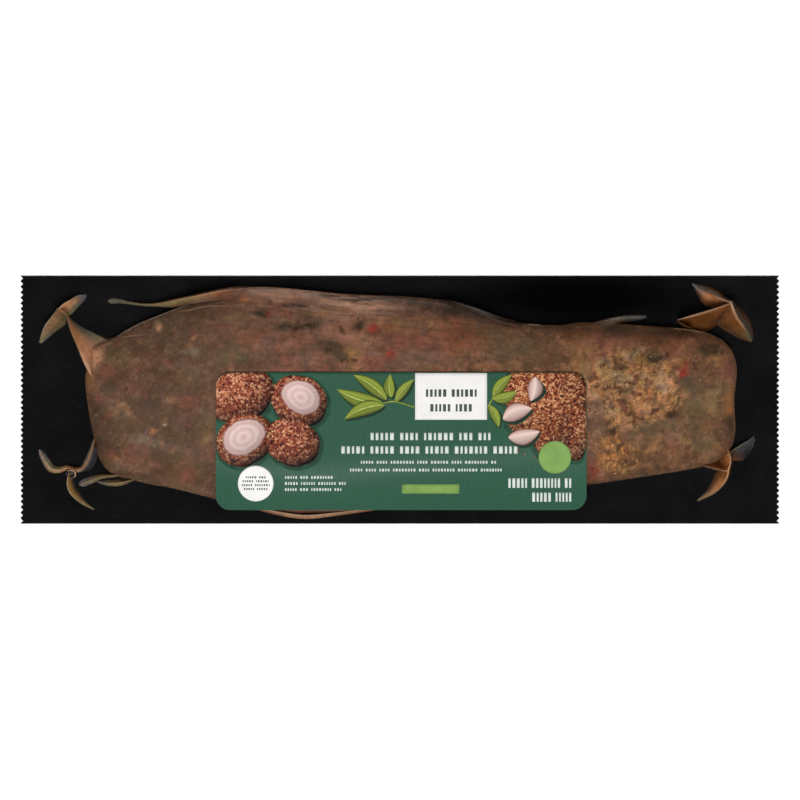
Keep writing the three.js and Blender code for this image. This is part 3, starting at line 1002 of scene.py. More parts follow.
    def plan_grid(self, columns: int, rows: int) -> np.ndarray:
        """Points stretched between the four edges.

        Args:
            columns: steps along the pack.
            rows: steps across it.

        Returns:
            Rows of x and y, row by row within each column.
        """
        along = crowded(columns, 0.013, 1.8)
        across = crowded(rows, 0.05, 1.8)
        long, short = self.edge_steps
        upper, lower = (along_line(smooth_line(r, long)[:, :2], along) for r in (self.upper, self.lower))
        left, right = (
            along_line(smooth_line(r, short)[:, :2], across) for r in (self.left, self.right[::-1])
        )
        u = along[:, None, None]
        v = across[None, :, None]
        grid = lower[:, None] * (1 - v) + upper[:, None] * v
        grid = grid + left[None] * (1 - u) + right[None] * u
        low = lower[0] * (1 - v) + upper[0] * v
        high = lower[-1] * (1 - v) + upper[-1] * v
        grid = grid - (low * (1 - u) + high * u)
        return grid.reshape(-1, 2)


# The meat and its rub


@dataclass(frozen=True)
class Stain:
    """A soft patch of another tone: centre and reach in mm, strength, and turn in degrees."""

    x: float
    y: float
    reach_x: float
    reach_y: float
    tone: Tone
    strength: float
    turn: float = 0.0

    def weight(self, xy: np.ndarray) -> np.ndarray:
        """How strongly it shows at points.

        Args:
            xy: rows of x and y in mm.

        Returns:
            A share from 0 to 1 for each point.
        """
        dx, dy = xy[:, 0] - self.x, xy[:, 1] - self.y
        cos, sin = math.cos(math.radians(self.turn)), math.sin(math.radians(self.turn))
        along, across = dx * cos + dy * sin, dy * cos - dx * sin
        out = (along / self.reach_x) ** 2 + (across / self.reach_y) ** 2
        return self.strength * np.exp(-(out**1.3))

    @staticmethod
    def rows(text: str) -> tuple["Stain", ...]:
        """Stains from a table.

        Args:
            text: rows parted by commas, each with x, y, both reaches, the tone's name, the
                strength and, where it isn't 0, the turn.

        Returns:
            The stains in the same order.
        """
        made = []
        for row in text.split(","):
            x, y, reach_x, reach_y, tone, *rest = row.split()
            place = float(x), float(y), float(reach_x), float(reach_y)
            made.append(Stain(*place, Tone[tone], *map(float, rest)))
        return tuple(made)


@dataclass(frozen=True)
class Mottle:
    """A tone that comes and goes all over: size in mm, and share at the left, middle and right."""

    tone: Tone
    size: float
    shares: tuple[float, float, float]


@dataclass
class Tenderloin:
    """The raw meat under the film, with the colours that the rub gives it."""

    form: MeatForm
    finish: RubbedMeatFinish = RubbedMeatFinish()
    columns: int = 520
    rows: int = 165
    inset: tuple[float, float] = (0.9975, 0.991)
    under_film: float = 0.38
    least_height: float = 0.3
    foot_height: float = 0.02
    smudge_count: int = 1700
    tint: Factors = (1.0, 0.965, 0.93)
    smudge_tones: tuple[Tone, ...] = (
        Tone.OLIVE_BROWN, Tone.UMBER, Tone.BRICK, Tone.TAN, Tone.MAUVE_GREY, Tone.UMBER,
    )
    coarse_tones: tuple[tuple[Tone, float, float], ...] = (
        (Tone.PINK_SAND, 8, 0.9), (Tone.GREY_SAND, 7, 0.8), (Tone.GOLD, 4, 0.6), (Tone.PEACH, 2.2, 0.45),
    )
    lower_coarse_shade: Factors = (0.15, 0.18, 0.31)
    coarse_patches: tuple[Box, Box] = ((107, 3.5, 24, 19), (99, -25, 14, 10))
    fascia_and_sheen_place: Stain = Stain(-32, 44, 38, 8, Tone.PINK_BROWN, 1)
    dusty_places: tuple[Stain, ...] = (
        Stain(118, -2, 44, 34, Tone.UMBER, 0.45), Stain(60, 23, 26, 14, Tone.UMBER, 0.4),
    )
    regions: tuple[float, float, float] = (-105, -45, 95)
    grounds: tuple[Tone, Tone, Tone] = (Tone.DUSTY_BROWN, Tone.ROSY_BROWN, Tone.WARM_BROWN)
    mottles: tuple[Mottle, ...] = (
        Mottle(Tone.MAUVE_GREY, 10, (0.4, 0.8, 0.3)), Mottle(Tone.BRICK, 7, (0.3, 0.65, 0.5)),
        Mottle(Tone.OLIVE_BROWN, 8, (0.6, 0.2, 0.5)), Mottle(Tone.PINK_BROWN, 6, (0.12, 0.4, 0.15)),
        Mottle(Tone.GOLD, 5, (0.14, 0.05, 0.4)), Mottle(Tone.UMBER, 3.6, (0.4, 0.35, 0.6)),
        Mottle(Tone.PINK_TAN, 2.4, (0.2, 0.25, 0.2)), Mottle(Tone.UMBER, 1.7, (0.4, 0.35, 0.45)),
        Mottle(Tone.TAN, 1.3, (0.25, 0.08, 0.5)),
    )
    # Painted light among the stains: the PINK_TAN and PEACH bands along the upper edge between x -55 and
    # -20 lighten a slope turned from the key light; the PEACH marks at (-140.8, 20.6), (-137.4, 24.6) and
    # (-111.5, 33.6) are painted highlights; the DARK_BROWN and BRONZE rows along the upper edge from x 26
    # to 123 darken the meat's brown there with painted shade.
    stains: tuple[Stain, ...] = Stain.rows(
        """
        -120.8 22.5 5 3 UMBER 0.6, -130.9 18.4 7 4 OLIVE 0.55, -135.5 13.7 5 4 BRICK 0.55,
        -143.8 8 3 8 ORANGE 0.5, -111.5 33.6 1.6 3 PEACH 0.6 30, -106 11.9 3 2.2 UMBER 0.6,
        -115.2 21.1 2.4 2 UMBER 0.55, -95 39.6 6 2.6 UMBER 0.5 8, -96.8 22 6 1.3 SAGE 0.35 10,
        -95.9 11.9 6 3 OLIVE 0.45, -86.6 24.8 3 1.8 UMBER 0.55, -123.5 5.4 7 4 BRICK 0.45,
        -128.6 -3.3 2.8 2.2 TAN 0.6, -116.2 -4.2 6 4 MAUVE_DARK 0.7, -103.7 -5.2 2.2 3.2 UMBER 0.7,
        -98.6 -0.5 6 3.4 BRICK 0.7, -134.6 -9.8 2.4 2 UMBER 0.55, -124.5 -11.6 8 3 OLIVE_BROWN 0.6,
        -118 -19 7 2.4 SAGE 0.35 -10, -111.5 -25.5 5 3 UMBER 0.5, -122.6 -24.5 6 4 BRICK 0.6,
        -134.6 -25.5 4 3 RED_BROWN 0.7, -130.9 -29.1 5 3 TAN 0.5 -20, -123.5 -31 8 3 PINK_BROWN 0.55 -10,
        -110.6 -33.8 4 3 UMBER 0.45, -98.6 -33.8 4 5 BRICK 0.75, -101.4 -39.3 13 2 TAN 0.4 -14,
        -92.2 -31 5 6 OLIVE_BROWN 0.5, -89.4 -14 5 9 OLIVE 0.45, -107 -30 3 2 UMBER 0.6,
        -117 38 13 2.2 RED_BROWN 0.45 27, -97 45 14 1.6 ASH_OLIVE 0.75 8,
        -64 39.6 3.6 2.5 HERB_GREEN 0.95, -76.5 37.7 4.5 1.7 OLIVE 0.6, -53.4 34 5.4 2.6 HERB_GREEN 0.98,
        -46.5 34.4 2 2.8 HERB_GREEN 0.95, -39.1 34.5 4.4 2 HERB_GREEN 0.98,
        -36.8 31.7 2.4 1.3 DARK_BROWN 0.8 40, -43.3 39.1 4.4 2.2 OLIVE_BROWN 0.7,
        -37 39.6 5 1.5 GOLD 0.7 -8, -29.9 30.3 10 3.4 PINK_BROWN 0.8 -18, -18.8 28.5 8 3 PINK_TAN 0.5 -15,
        -31.8 23.9 7 3.8 HERB_GREEN 0.9 -25, -25.8 19.3 3.4 1.9 HERB_GREEN 0.95 -40,
        -28.1 24.3 3.2 1.3 UMBER 0.75, -27.1 32.4 2.2 1 UMBER 0.8 -40, -53 27.1 2.6 1.7 UMBER 0.6,
        -68.6 28.5 7 3 RED_BROWN 0.45, -77 20.2 9 4.2 ASH_OLIVE 0.75, -65.9 16.5 7 2.6 UMBER 0.6,
        -18.4 34 2.2 2.6 HERB_GREEN 0.9, -8.7 31.3 3.4 1.6 UMBER 0.55, -21.6 21.1 3.6 5 GOLD 0.6,
        -2.3 32.6 7 2 GOLD 0.45 -8, -4.1 26.6 0.8 2.8 UMBER 0.7, -9.6 40 6 1.1 UMBER 0.6 -6,
        -30 46.4 46 5 PINK_TAN 0.9 -5, -54.8 48.4 20 2.6 PEACH 0.6 -3, -22.5 48.6 8 1 UMBER 0.6 -5,
        -28 43.2 9 1.2 UMBER 0.6 -8, -20.7 43.6 14 2.8 PEACH 0.6 -6, 3.3 43.6 7 2.4 PINK_BROWN 0.6 -10,
        5.1 40 3.4 2 UMBER 0.5, 1.4 35.6 11 1.8 OLIVE 0.5 -6, 15.7 24.3 3 2 UMBER 0.7,
        20.3 38.2 1.7 1.3 UMBER 0.7, 30 31.3 12 5 RED_BROWN 0.7 -10, 25.4 26.7 10 5 RED_BROWN 0.5,
        3.3 27.6 12 5 BRICK 0.6, 9.7 19.3 13 4 MAUVE_GREY 0.55, 36 34 1.7 1.4 MAUVE_GREY 0.9,
        43.9 31.3 10 5 OLIVE_BROWN 0.6, 63.2 27.6 4.4 2.2 UMBER 0.55, 53 23 15 6 ASH_OLIVE 0.5,
        70.6 19.3 9 6 UMBER 0.35, 26 42.8 30 4.4 DARK_BROWN 0.95 -8, 56 36.4 14 2.2 DARK_BROWN 0.8 -5,
        77 33 3.2 3.4 DARK_BROWN 0.65, 84.4 32.7 10 4.4 BRONZE 0.95, 83 20.7 5 9 GOLD 0.35,
        101.5 32.2 11 4 DARK_BROWN 0.75, 98.7 27 13 3 BRICK 0.6, 117.6 29.9 12 4 BRONZE 0.85 -3,
        122.7 31.6 10 2.4 DARK_BROWN 0.6 -6, 117.6 19.3 5.4 2.8 HERB_GREEN 0.9,
        125.5 24.8 9 4 RED_BROWN 0.45, 142.1 23 5.4 3.4 HERB_GREEN 0.8, 146.7 19.6 4.4 2.4 GOLD 0.6,
        151.3 15 4 7 BRICK 0.6, 133.8 6.4 5.4 4.2 ASH_OLIVE 0.85, 84.9 13.7 3 4 OLIVE 0.5,
        144.8 3.6 5 1.8 STRAW 0.65, 90.4 -7.9 4 8 MAUVE_GREY 0.75, 126.4 -7.4 4 2.2 DARK_BROWN 0.85,
        123.6 -12 5 3 OLIVE 0.6, 135.6 -2.4 8 5 OLIVE 0.6, 145.8 -2.4 5 4 STRAW 0.5,
        152.6 -2.4 2.4 6 ORANGE 0.85, 152.9 -11.6 2.6 4 UMBER 0.8, 140.2 -20.8 5 4 ASH_OLIVE 0.65,
        135.6 -9.5 7 5 ASH_OLIVE 0.6, 111.6 -13.5 10 2.8 OLIVE_BROWN 0.75,
        98.3 -14.8 2.4 1.5 DARK_BROWN 0.95, 104.3 -24 1.4 3.2 RED_BROWN 0.9,
        104.3 -28.2 1.5 1.4 UMBER 0.9, 120 -25.5 2.2 1.5 UMBER 0.6, 116.2 -27.3 6 2 UMBER 0.5,
        88.6 -28.2 3 4 MAUVE_GREY 0.8, 88.6 -36.5 7 1.6 RED_BROWN 0.6 8, 143 -26 6 3 TAN 0.55 20,
        -60.4 39.6 1.7 1.7 CHILLI 0.95, -12.4 33.1 2.8 1.9 CHILLI 0.95, -3.6 21.1 2 2 CHILLI 0.9,
        130.5 12.8 2.4 2.4 CHILLI 0.95, 132 16.4 1.4 2 CHILLI 0.5, 128 11.9 1.2 1.4 PEACH 0.7,
        89 -33 2 2.4 CHILLI 0.9, -71.4 46.3 2.2 1.4 ORANGE 0.95, -113.9 -14.2 1.5 1.5 ORANGE 0.7,
        -108.1 -11.4 0.8 0.8 SILVER 0.9, -140.8 20.6 4.4 6.4 PEACH 0.9 -12,
        -137.4 24.6 7 2.6 PEACH 0.6 22, -139.4 19.4 1.6 0.5 UMBER 0.5 30, 87.4 -29.6 5 5 RED_BROWN 0.75,
        108 -29 3.4 1.6 UMBER 0.6 15, 96 -24 2.4 1.8 RIND 0.7
        """
    )

    def smudges(self) -> list[Stain]:
        """Small soft marks of herbs, pepper and fat, thicker towards the left end.

        Returns:
            The marks, always the same ones.
        """
        draw = np.random.default_rng(31)
        marks = []
        for _ in range(self.smudge_count):
            x = -144 + 298 * draw.uniform() ** 1.2
            y = draw.uniform(-50, 52)
            tone = self.smudge_tones[int(draw.integers(len(self.smudge_tones)))]
            reach = 0.45 + 1.3 * draw.uniform() ** 2
            long = reach * draw.uniform(1, 2)
            strength = draw.uniform(0.3, 0.8) * (0.5 if y > 41 else 1)
            marks.append(Stain(x, y, long, reach, tone, strength, draw.uniform(-90, 90)))
        return marks

    @staticmethod
    def mixed(colour: np.ndarray, tone: Tone, weight: np.ndarray) -> np.ndarray:
        """Screen colours at points with a tone mixed in by each point's weight."""
        return colour + (np.array(tone.value) - colour) * weight[:, None]

    def herb_cores(self) -> list[Stain]:
        """Small dark bits in the middle of each clump of herbs.

        Returns:
            The bits, always the same ones.
        """
        draw = np.random.default_rng(33)
        marks = []
        for clump in self.stains:
            for _ in range(6 if clump.tone is Tone.HERB_GREEN else 0):
                x, y = draw.normal(0, 0.5, 2) * (clump.reach_x, clump.reach_y)
                reach, turn = draw.uniform(0.45, 0.85), draw.uniform(-90, 90)
                place = (clump.x + x, clump.y + y, 1.5 * reach, reach)
                marks.append(Stain(*place, Tone.DARK_BROWN, 0.7, turn))
        return marks

    def mottled(self, xy: np.ndarray) -> np.ndarray:
        """Screen colours of the meat before any stain.

        Args:
            xy: rows of x and y in mm.

        Returns:
            Red, green and blue from 0 to 255 for each point.
        """
        noise = SoftNoise(12)
        x = xy[:, 0]
        bent = noise.bent(xy, 2.2, 7, (17, 71))
        ends = np.array([tone.value for tone in self.grounds], float)
        colour = np.column_stack([np.interp(x, self.regions, ends[:, k]) for k in range(3)])
        for index, mottle in enumerate(self.mottles):
            share = np.interp(x, self.regions, mottle.shares)
            weight = share * smooth_step(0.04, 0.48, noise.layered(bent + 50 * index, mottle.size))
            colour = self.mixed(colour, mottle.tone, weight)
        return colour

    def gaps(self, xy: np.ndarray) -> np.ndarray:
        """Where the coarse rub is parted by gaps and pits, from 0 to 1; they are sunk in the relief and
        darkened in colour.

        Args:
            xy: rows of x and y in mm.

        Returns:
            One share for each point.
        """
        noise = SoftNoise(18)
        bent = noise.bent(xy, 1.9, 3.4, (0, 60))
        cracks = smooth_step(0.12, 0.0, np.abs(noise.layered(bent + 200, 3.8)))
        cracks = cracks * smooth_step(-0.3, 0.4, noise.at(xy + 90, 5))
        return np.maximum(0.9 * cracks, smooth_step(0.4, 0.7, noise.at(bent + 300, 2.4)))

    def coarse(self, xy: np.ndarray) -> np.ndarray:
        """Screen colours of the thick coarse rub.

        Args:
            xy: rows of x and y in mm.

        Returns:
            Red, green and blue from 0 to 255 for each point.
        """
        noise = SoftNoise(19)
        bent = noise.bent(xy, 2, 5, (0, 60))
        colour = np.tile(np.array(Tone.SAND.value, float), (len(xy), 1))
        for index, (tone, size, share) in enumerate(self.coarse_tones):
            weight = share * smooth_step(0.0, 0.45, noise.layered(bent + 40 * index, size))
            colour = self.mixed(colour, tone, weight)
        # The gaps take the dark RIND tone: partly the meat's brown between the crumbs, partly painted
        # shade in the crevices.
        colour = self.mixed(colour, Tone.RIND, 0.9 * self.gaps(xy))
        lower = smooth_step(-10, -18, xy[:, 1])[:, None]
        colour = colour * (1 - lower * np.array(self.lower_coarse_shade))
        crumbs = noise.layered(bent + 400, 1.5)[:, None] * (0.26 + 0.34 * lower)
        return colour * (1 + crumbs)

    def tone(self, xy: np.ndarray) -> np.ndarray:
        """The linear colour at points: mottled ground, coarse rub, stains, silvery lines that are
        partly painted highlight, and painted shade along the lower edge.

        Args:
            xy: rows of x and y in mm.

        Returns:
            Red, green and blue from 0 to 1 for each point.
        """
        cloud, drift = SoftNoise(11), SoftNoise(13)
        colour = self.mottled(xy)
        thick = smooth_step(0.15, 0.75, self.grainy(xy) + 0.3 * cloud.layered(xy, 4))[:, None]
        colour += (self.coarse(xy) - colour) * thick * 0.92
        warped = drift.bent(xy, 1.3, 3.4, (17, 71))
        for index, stain in enumerate(self.smudges() + list(self.stains) + self.herb_cores()):
            near = np.abs(xy - (stain.x, stain.y)).max(axis=1) < 2.4 * max(stain.reach_x, stain.reach_y)
            some = warped[near]
            ragged = 1 + 0.7 * cloud.layered(some + 13 * (index % 40), 0.5 * stain.reach_y + 1.0)
            weight = np.clip(stain.weight(some) * ragged, 0, 1)
            colour[near] = self.mixed(colour[near], stain.tone, weight)
        # Silvery streaks in the upper band, with darker lines between them: partly the fascia's own
        # colour, partly painted highlight.
        along = np.column_stack([xy[:, 0] - 0.1 * xy[:, 1], xy[:, 1] + 0.1 * xy[:, 0]])
        streak = SoftNoise(14).at(along, (13, 1.0)) + 0.5 * SoftNoise(16).at(along, (6, 0.7))
        upper = self.fascia_and_sheen_place.weight(xy)
        colour = self.mixed(colour, Tone.SILVER, 0.45 * upper * smooth_step(-0.2, 0.9, streak))
        lightness = 1 + 0.09 * drift.layered(xy + 211, 12) + 0.1 * drift.layered(xy + 307, 2.2)
        fibres = 0.09 * SoftNoise(21).at(along, (7, 0.9)) + 0.06 * SoftNoise(22).at(along, (3, 0.6))
        middle = smooth_step(-100, -70, xy[:, 0]) * smooth_step(75, 50, xy[:, 0])
        lightness = lightness - 0.12 * upper * smooth_step(0.1, -0.8, streak) + middle * fibres
        # Painted shade: the lower side, turned to the key light, is darkened by up to a tenth within 10 mm
        # of the outline.
        shoulder = 1 - 0.1 * smooth_step(10, 2, self.form.depth(xy)) * (xy[:, 1] < 0)
        return linear(np.clip(colour * (lightness * shoulder)[:, None] * self.tint, 0, 255))

    def dust(self, xy: np.ndarray) -> np.ndarray:
        """How thickly fine dried herbs lie at points, from 0 to 1.

        Args:
            xy: rows of x and y in mm.

        Returns:
            One share for each point.
        """
        dust = 0.2 + 0.6 * smooth_step(-78, -104, xy[:, 0])
        for place in self.dusty_places:
            dust = dust + place.weight(xy)
        herbs = [stain.weight(xy) for stain in self.stains if stain.tone is Tone.HERB_GREEN]
        return np.clip(dust + 0.8 * np.max(herbs, axis=0), 0, 1)

    def grainy(self, xy: np.ndarray) -> np.ndarray:
        """How much a point belongs to the two patches of coarse rub, from 0 to 1.

        Args:
            xy: rows of x and y in mm.

        Returns:
            One share for each point.
        """
        ragged = 0.5 * SoftNoise(15).layered(xy, 8)
        large, small = (
            ((xy[:, 0] - x) / wide) ** 2 + ((xy[:, 1] - y) / tall) ** 2 + ragged
            for x, y, wide, tall in self.coarse_patches
        )
        return np.maximum(smooth_step(1.2, 0.5, large), 0.8 * smooth_step(1.2, 0.4, small))

    def surface(self) -> tuple[np.ndarray, np.ndarray]:
        """The meat's upper side.

        Returns:
            Its points in mm, and their distances inside the outline.
        """
        xy = self.form.plan_grid(self.columns, self.rows) * np.array(self.inset)
        depth = np.maximum(self.form.depth(xy), 0)
        rough = SoftNoise(17)
        relief = 0.1 * rough.layered(xy, 3.2)
        relief += self.grainy(xy) * (0.16 * rough.at(xy + 77, 1.8) - 0.3 * self.gaps(xy))
        relief = relief * smooth_step(1, 6, depth)
        height = self.form.film_height(xy, depth) - self.under_film + relief
        top = np.maximum(height, WEB_TOP + self.least_height)
        return np.column_stack([xy, top]), depth

    def build(self) -> bpy.types.Object:
        """Makes the meat as one closed body and settles it.

        Returns:
            The meat, which the rub is strewn over.
        """
        grid, depth = self.surface()
        sided, faces = walled(grid, self.columns, self.rows, WEB_TOP + self.foot_height)
        foot = sided[len(grid) :]
        points = np.vstack([sided, foot.mean(axis=0, keepdims=True)])
        hub = len(sided)
        ring = range(len(grid), hub)
        faces += [(hub, after, at) for at, after in zip(ring, [*ring[1:], ring[0]])]
        xy = points[:, :2]
        clear = smooth_step(0.8, 2.2, self.form.off_label(xy))
        inside = np.concatenate([smooth_step(1, 5, depth), np.zeros(len(foot) + 1)])
        maps = {"tone": self.tone(xy), "dust": self.dust(xy), "grainy": self.grainy(xy)}
        shell = Shell()
        shell.add(points, faces, **maps, bare=clear * inside)
        piece = shell.mesh_object("tenderloin", self.finish.material())
        settle(piece, ["tenderloin_in_film"])
        return piece


@dataclass(frozen=True)
class Scatter:
    """One kind of bit in the rub, strewn over the meat by Geometry Nodes.

    Sizes are in mm, and density is bits for each square mm where the map is 1.
    """

    name: str
    density_map: str
    density: float
    size: tuple[float, float]
    stretch: tuple[float, float, float]
    lift: float
    ragged: float
    seed: int
    finish: SpiceFinish

    def tree(self, material: bpy.types.Material) -> bpy.types.GeometryNodeTree:
        """The node tree that strews the bits.

        Args:
            material: what the bits are made of.

        Returns:
            A tree with named inputs for density, sizes, lift, raggedness, stretch and seed.
        """
        tree = bpy.data.node_groups.new(self.name + "_scatter", "GeometryNodeTree")
        floats = [(name, "Float") for name in ("Density", "Smallest", "Largest", "Lift", "Raggedness")]
        for name, kind in [("Geometry", "Geometry"), *floats, ("Stretch", "Vector"), ("Seed", "Int")]:
            tree.interface.new_socket(name, in_out="INPUT", socket_type="NodeSocket" + kind)
        tree.interface.new_socket("Geometry", in_out="OUTPUT", socket_type="NodeSocketGeometry")
        given = tree.nodes.new("NodeGroupInput").outputs

        def add(kind: str, inputs: Inputs, output: int = 0, **settings: object) -> Socket:
            """Adds a node and gives one of its outputs."""
            return add_node(tree, kind, inputs, **settings).outputs[output]

        def vector(way: str, first: Socket, second: object, socket: int | str = 1) -> Socket:
            """A vector joined with another, or with a number at the socket of that name."""
            return add("ShaderNodeVectorMath", {0: first, socket: second}, operation=way)

        where = add("GeometryNodeInputNamedAttribute", {"Name": self.density_map}, data_type="FLOAT")
        amount = add("ShaderNodeMath", {0: where, 1: given["Density"]}, operation="MULTIPLY")
        strewn = add_node(
            tree,
            "GeometryNodeDistributePointsOnFaces",
            {"Mesh": given["Geometry"], "Density": amount, "Seed": given["Seed"]},
        ).outputs
        seeded = {"Seed": given["Seed"]}
        random = "FunctionNodeRandomValue"
        turned = {0: (-0.25, -0.25, 0), 1: (0.25, 0.25, 2 * math.pi), **seeded}
        spin = add("FunctionNodeEulerToRotation", {0: add(random, turned, data_type="FLOAT_VECTOR")})
        facing = add(
            "FunctionNodeRotateRotation", {0: strewn["Rotation"], 1: spin}, rotation_space="LOCAL"
        )
        size = add(random, {2: given["Smallest"], 3: given["Largest"], **seeded}, 1, data_type="FLOAT")
        uneven = add(random, {0: (0.7, 0.7, 0.8), 1: (1.3, 1.3, 1.2)}, data_type="FLOAT_VECTOR")
        scale = vector("SCALE", vector("MULTIPLY", uneven, given["Stretch"]), size, "Scale")
        bit = add("GeometryNodeMeshIcoSphere", {"Radius": 0.5, "Subdivisions": 1})
        copies = add(
            "GeometryNodeInstanceOnPoints",
            {"Points": strewn["Points"], "Instance": bit, "Rotation": facing, "Scale": scale},
        )
        tint = add(random, {}, 1, data_type="FLOAT")
        stored = {"Geometry": copies, "Name": "tint", "Value": tint}
        tinted = add("GeometryNodeStoreNamedAttribute", stored, data_type="FLOAT", domain="INSTANCE")
        real = add("GeometryNodeRealizeInstances", {0: tinted})
        noise = add("ShaderNodeTexNoise", {"Scale": 1 / (self.size[1] * 0.6 * MM)}, 1)
        centred = vector("SUBTRACT", noise, (0.5, 0.5, 0.5))
        bent = vector("SCALE", centred, given["Raggedness"], "Scale")
        offset = vector("ADD", bent, add("ShaderNodeCombineXYZ", {"Z": given["Lift"]}))
        shifted = add("GeometryNodeSetPosition", {"Geometry": real, "Offset": offset})
        dressed = add("GeometryNodeSetMaterial", {"Geometry": shifted, "Material": material})
        add_node(tree, "NodeGroupOutput", {0: dressed})
        return tree

    def build(self, meat: bpy.types.Object) -> None:
        """Strews the bits over a copy of the meat and keeps them as a plain mesh.

        Args:
            meat: the finished meat, whose points hold the density map.
        """
        tree = self.tree(self.finish.material())
        ground = bpy.data.objects.new(self.name + "_ground", meat.data.copy())
        bpy.context.scene.collection.objects.link(ground)
        modifier = ground.modifiers.new("strew", "NODES")
        modifier.node_group = tree
        chosen = {
            "Density": self.density / MM**2,
            "Smallest": self.size[0] * MM,
            "Largest": self.size[1] * MM,
            "Lift": self.lift * MM,
            "Raggedness": self.ragged * self.size[1] * MM,
            "Stretch": self.stretch,
            "Seed": self.seed,
        }
        for socket in tree.interface.items_tree:
            if socket.in_out == "INPUT" and socket.name in chosen:
                modifier[socket.identifier] = chosen[socket.name]
        bpy.context.view_layer.update()
        graph = bpy.context.evaluated_depsgraph_get()
        mesh = bpy.data.meshes.new_from_object(ground.evaluated_get(graph))
        mesh.name = self.name
        bpy.data.objects.remove(ground)
        settle(placed(mesh))


@dataclass
class Rub:
    """All the dried bits that lie on the meat: herbs, pepper, granules and chilli."""

    clusters: tuple[tuple[float, float], ...] = (
        (-64.5, 40), (-54, 34), (-45, 34.5), (-42.5, 33.5), (-39.5, 34), (-32, 25), (-29.5, 23),
        (-25, 19.5), (-19, 33.5), (30, 30), (-100, 22), (-112, 6), (-120, -14), (52, 26), (66, 20),
    )
    red_places: tuple[tuple[float, float], ...] = (
        (-60.8, 39.5), (-12.8, 33), (-3.7, 20.6), (131, 12.4), (88, -32.8),
    )
    orange_places: tuple[tuple[float, float], ...] = (
        (-71.4, 46.4), (-114, -14), (81, 34),
    )

    @staticmethod
    def spots(xy: np.ndarray, places: Sequence[tuple[float, float]], reach: float) -> np.ndarray:
        """1 at each of the places, falling off over reach in mm.

        Args:
            xy: rows of x and y in mm.
            places: the spots' middles in mm.
            reach: how far each one goes.

        Returns:
            A share from 0 to 1 for each point.
        """
        total = np.zeros(len(xy))
        for place in places:
            total = np.maximum(total, np.exp(-((xy - place) ** 2).sum(axis=1) / reach**2))
        return np.where(total > 0.05, total, 0)

    def write_maps(self, meat: bpy.types.Object) -> None:
        """Stores on the meat's points how densely each kind of bit lies.

        Args:
            meat: the finished meat.
        """
        mesh = meat.data
        xy = np.empty(len(mesh.vertices) * 3, np.float32)
        mesh.vertices.foreach_get("co", xy)
        xy = xy.reshape(-1, 3)[:, :2].astype(float) / MM
        read = {}
        for name in ("dust", "grainy", "bare"):
            values = np.empty(len(mesh.vertices), np.float32)
            mesh.attributes[name].data.foreach_get("value", values)
            read[name] = values.astype(float)
        ragged = SoftNoise(23).layered(xy, 7)
        strewn = smooth_step(-0.25, 0.5, ragged)
        clumps = self.spots(xy, self.clusters, 3.2)
        maps = {
            "herb_map": 0.1 * strewn + 0.3 * read["dust"] * strewn + 1.5 * clumps,
            "pepper_map": (read["dust"] ** 1.5) * (0.35 + 0.65 * strewn),
            "granule_map": read["grainy"] * (0.35 + 0.65 * strewn),
            "chilli_map": self.spots(xy, self.red_places, 1.3),
            "orange_map": self.spots(xy, self.orange_places, 1.4),
        }
        for name, values in maps.items():
            layer = mesh.attributes.new(name, "FLOAT", "POINT")
            layer.data.foreach_set("value", (values * read["bare"]).astype(np.float32))

    def kinds(self) -> tuple[Scatter, ...]:
        """The kinds of bit, from coarse to fine.

        Returns:
            One scatter for each kind.
        """
        herb = SpiceFinish("dried_herb", (62, 50, 36), (76, 61, 43), (92, 74, 52))
        pepper = SpiceFinish("ground_pepper", (66, 52, 38), (80, 63, 46), (98, 78, 58))
        garlic = SpiceFinish("garlic_granules", (112, 74, 42), (138, 98, 60), (162, 120, 80))
        chilli = SpiceFinish("chilli_flakes", (104, 42, 34), (122, 48, 40), (132, 56, 46))
        orange = SpiceFinish("orange_peel_bits", (128, 82, 50), (152, 100, 62), (176, 122, 80))
        return (
            Scatter("herb_flakes", "herb_map", 0.05, (0.8, 2.2), (1, 0.6, 0.14), -0.03, 0.4, 3, herb),
            Scatter("pepper_dust", "pepper_map", 0.2, (0.4, 1), (1, 0.8, 0.25), -0.03, 0.3, 5, pepper),
            Scatter("garlic_granules", "granule_map", 0.1, (1.2, 3), (1, 0.8, 0.22), -0.2, 0.5, 8, garlic),
            Scatter("chilli_flakes", "chilli_map", 0.2, (1, 2.2), (1, 0.75, 0.14), 0, 0.35, 2, chilli),
            Scatter("orange_bits", "orange_map", 0.3, (0.9, 2), (1, 0.65, 0.22), 0, 0.25, 4, orange),
        )

    def build(self, meat: bpy.types.Object) -> None:
        """Strews every kind of bit over the meat.

        Args:
            meat: the finished meat.
        """
        self.write_maps(meat)
        for kind in self.kinds():
            kind.build(meat)


# The film


@dataclass
class TightFilm:
    """The clear formed film, drawn tight over the meat, with its upright foot on the web."""

    form: MeatForm
    finish: ClearFilmFinish = ClearFilmFinish()
    columns: int = 300
    rows: int = 100
    thickness: float = 0.1

    def build(self) -> None:
        """Makes the film as a thin closed sheet and settles it."""
        xy = self.form.plan_grid(self.columns, self.rows)
        depth = np.maximum(self.form.depth(xy), 0)
        depth[grid_rim(self.columns, self.rows)] = 0
        points = np.column_stack([xy, self.form.film_height(xy, depth)])
        shell = Shell()
        shell.add(*walled(points, self.columns, self.rows, WEB_TOP + self.thickness))
        piece = shell.mesh_object("tight_film", self.finish.material())
        wall = piece.modifiers.new("wall", "SOLIDIFY")
        wall.thickness = self.thickness * MM
        wall.offset = -1
        settle(piece, ["tenderloin_in_film"])


